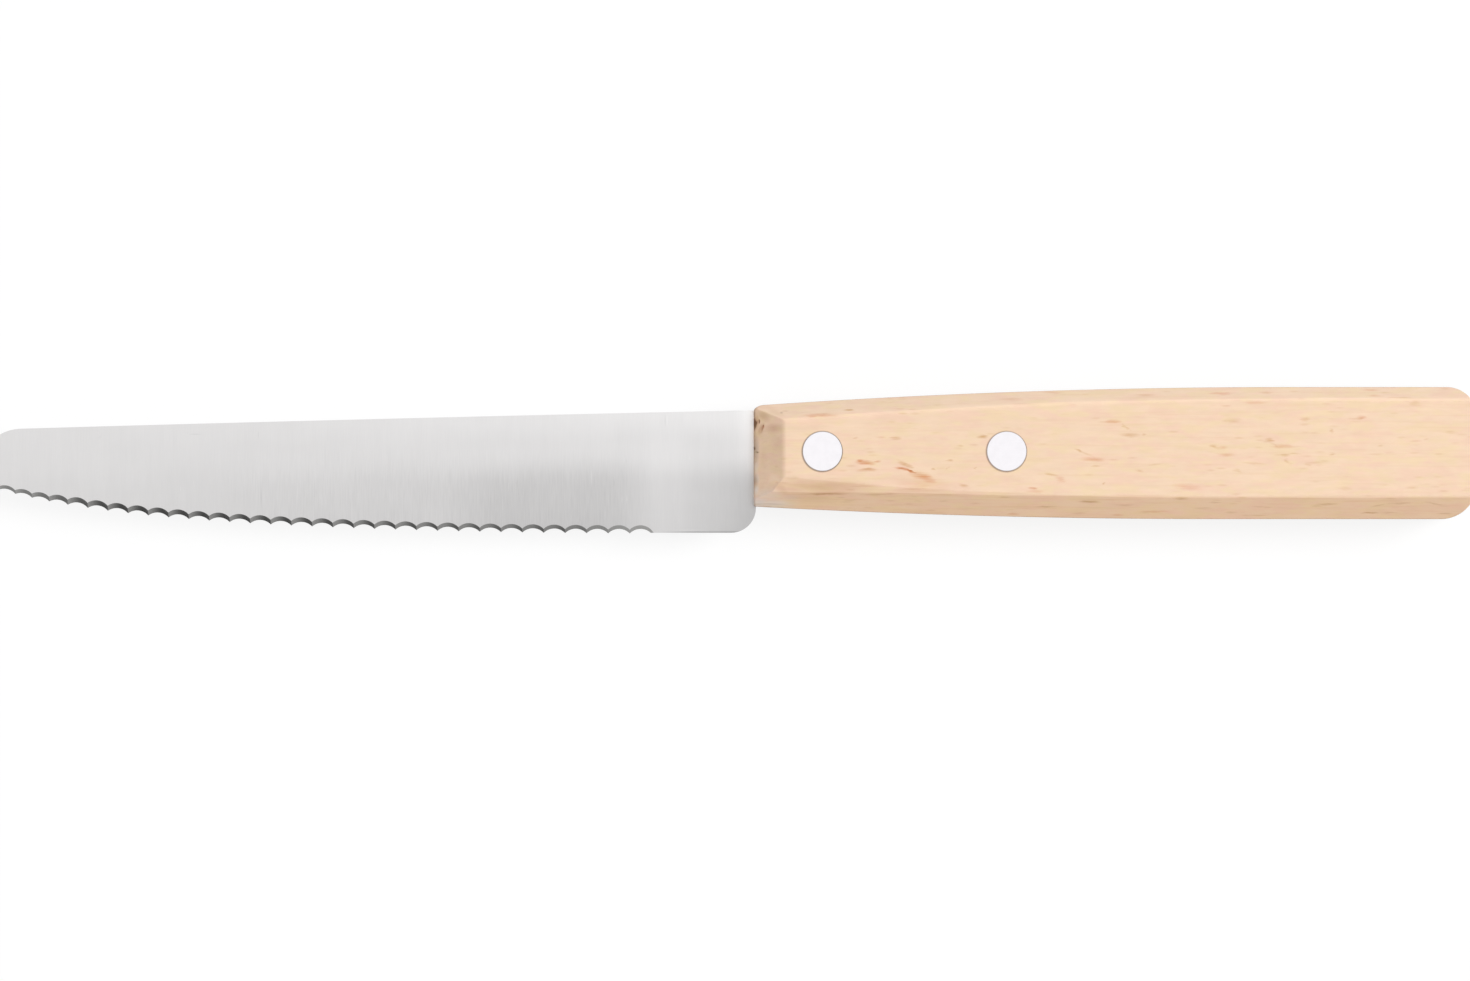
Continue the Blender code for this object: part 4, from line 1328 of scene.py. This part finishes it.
def finish_beech():
    material, tree, shader, place = new_finish("sanded_beech")
    bent = bent_place(tree, place)
    grain = noises(tree, bent, BENT_NOISES)
    straight = noises(tree, place, STRAIGHT_NOISES)
    ahead, facing = surface_direction(tree)[:2]
    faces_blade = between(tree, ahead, *FRONT_FACING)
    faces_belly = between(tree, facing, *BELLY_FACING)

    streaky = evenly(tree, faces_belly, 0.0, 1.0, *STREAKINESS)
    colour = BEECH
    for share, layer in (
        (between(tree, grain["pink"], 0.42, 0.62), BEECH_PINK),
        (between(tree, grain["yellow"], 0.45, 0.64, 0.0, 0.85), BEECH_YELLOW),
        (product(tree, between(tree, grain["streaks"], 0.48, 0.76), streaky), BEECH_DEEP),
        (between(tree, grain["hair"], 0.52, 0.78, 0.0, 0.18), BEECH_DEEP),
    ):
        colour = mixed(tree, share, colour, layer)
    colour = scaled(tree, colour, evenly(tree, straight["patches"], 0.25, 0.75, *PATCH_TONES))

    listed = listed_place(tree, place, straight["fibres"], straight["wander"])
    brown = sums(tree, "MAXIMUM", strongest(tree, listed, BROWN_FLECKS),
                 scattered_flecks(tree, bent, straight["flecked"]))
    ragged = evenly(tree, grain["hair"], 0.35, 0.62, *RAGGEDNESS)
    brown = sums(tree, "MULTIPLY", brown, add_up(tree, ragged, [(faces_belly, BEVEL_STRENGTH)]),
                 clamp=True)
    red = sums(tree, "MULTIPLY", strongest(tree, listed, RED_FLECKS), ragged, clamp=True)
    colour = tinted(tree, colour, (
        (brown, mixed(tree, faces_belly, BROWN_TINT, BEVEL_BROWN_TINT)),
        (red, RED_TINT),
        # painted light and shade by the way a face turns: paler on the spine bevel, deeper on the belly
        # bevel, its rim and the front
        (between(tree, facing, *SPINE_FACING), SPINE_BEVEL_PAINTED_LIGHT),
        (faces_belly, BELLY_BEVEL_SHADE_TINT),
        (between(tree, facing, *RIM_FACING), BELLY_RIM_SHADE_TINT),
        (faces_blade, FRONT_SHADE_TINT),
        (product(tree, faces_blade, strongest(tree, place, PALER)), PALER_TINT),
    ))
    # the rings round the rivets: grime, with painted shadow off centre towards the blade and the belly
    rings = [rivet_ring(tree, place, node, 2 * MOUTH_OFFSET, *RING_REACH) for node in rivets]
    # the painted highlight along the arris is multiplied in here
    colour = tinted(tree, scaled(tree, colour, painted_arris_highlight(tree, place)), (
        (sums(tree, "MAXIMUM", *rings), RING_GRIME_AND_SHADOW_TINT),
        (strongest(tree, place, STAINS_AND_SHADOWS), STAIN_AND_SHADOW_TINT),
        (strongest(tree, place, GREYED), GREY_TINT),
        (strongest(tree, place, TORN_AND_SHADOWED), TORN_AND_SHADOW_TINT),
    ))

    shader.inputs["IOR"].default_value = WOOD_IOR
    shader.inputs["Specular IOR Level"].default_value = WOOD_SHINE
    furrows = add_up(tree, product(tree, grain["streaks"], 0.5), ((grain["hair"], 0.5), (brown, -0.3)))
    roughness = evenly(tree, grain["streaks"], 0.3, 0.8, *WOOD_ROUGHNESS)
    end_finish(tree, shader, colour, roughness, 0.0, WOOD_RELIEF, furrows)
    return material


handle.data.materials.clear()
handle.data.materials.append(finish_beech())
settle(handle, "handle", sharp_angle=38)

# %% [markdown]
# ## The rivets
# Each rivet is a plain aluminium pin, set and then ground flush with the cheek on both sides, so its face
# has the belt's fine lines and a bright worn rim. A turned piece is a profile swept round an axis. The
# face dips a few hundredths of a millimetre towards the rim, as soft metal does when it is sanded with wood.

# %% Turn the rivets
RIVET_RIM = 0.07
RIM_STEPS = 4
RIVET_DISH = 0.015
DISH_SHARES = (0.02, 0.35, 0.7, 0.9)
RIM_GRIME_AND_SHADE_REACH = (2.82, 2.66)      # dirt that the worn rim has gathered, and painted shade in the groove beside the wood
RIM_GRIME_AND_SHADE_TONE = 0.52
SANDED_TONES = (0.946, 0.974)
CLOUDED = -0.025
ALUMINIUM_ROUGHNESS = (0.30, 0.42)
ALUMINIUM_RELIEF = (0.2, 0.004)
ALUMINIUM_TINT = (1.0, 0.975, 1.005, 1.0)
ALUMINIUM_NOISES = {
    "lines": ((7.0, 0.06, 2.0), 2.0, 0.6),
    "clouds": ((0.9, 1.1, 1.0), 3.0, 0.5, (4.0, 4.0, 4.0)),
}


def rivet_profile(radius, half_length):
    """Radii and heights down a rivet, from the middle of one face to the middle of the other."""
    upper = [(radius * share, half_length - RIVET_DISH * share**2) for share in DISH_SHARES]
    rim_middle = (radius - RIVET_RIM, half_length - RIVET_DISH - RIVET_RIM)
    upper += arc(rim_middle, RIVET_RIM, pi / 2, 0.0, RIM_STEPS)
    return upper + [(r, -z) for r, z in reversed(upper)]


def finish_aluminium(node):
    material, tree, shader, place = new_finish("sanded_aluminium_" + node)
    found = noises(tree, place, ALUMINIUM_NOISES)
    # grime and painted shade darken the rim where it meets the wood
    grime_and_shade = between(tree, rivet_ring(tree, place, node, 0.0, *RIM_GRIME_AND_SHADE_REACH), 0.0, 1.0, RIM_GRIME_AND_SHADE_TONE, 1.0)
    tone = add_up(tree, evenly(tree, found["lines"], 0.3, 0.7, *SANDED_TONES),
                  [(between(tree, found["clouds"], 0.35, 0.7), CLOUDED)])
    colour = toned(tree, product(tree, tone, grime_and_shade), ALUMINIUM_TINT)
    roughness = evenly(tree, found["lines"], 0.3, 0.7, *ALUMINIUM_ROUGHNESS)
    end_finish(tree, shader, colour, roughness, 1.0, ALUMINIUM_RELIEF, found["lines"])
    return material


for node, (x, y, radius, half_length) in rivets.items():
    rivet = turned("aluminium_" + node, rivet_profile(radius, half_length), x, y)
    rivet.data.materials.append(finish_aluminium(node))
    settle(rivet, node, sharp_angle=40)

# %% [markdown]
# ## The sizes at the end
# Both boxes, the imported knife's and the dressed knife's, are printed. The dressed knife has to stay
# as big as the imported one.

# %% Print both boxes
visual_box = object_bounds()
for name, box in (("packed", cad_box), ("dressed", visual_box)):
    print(name, [[round(value * 1000, 3) for value in corner] for corner in box])
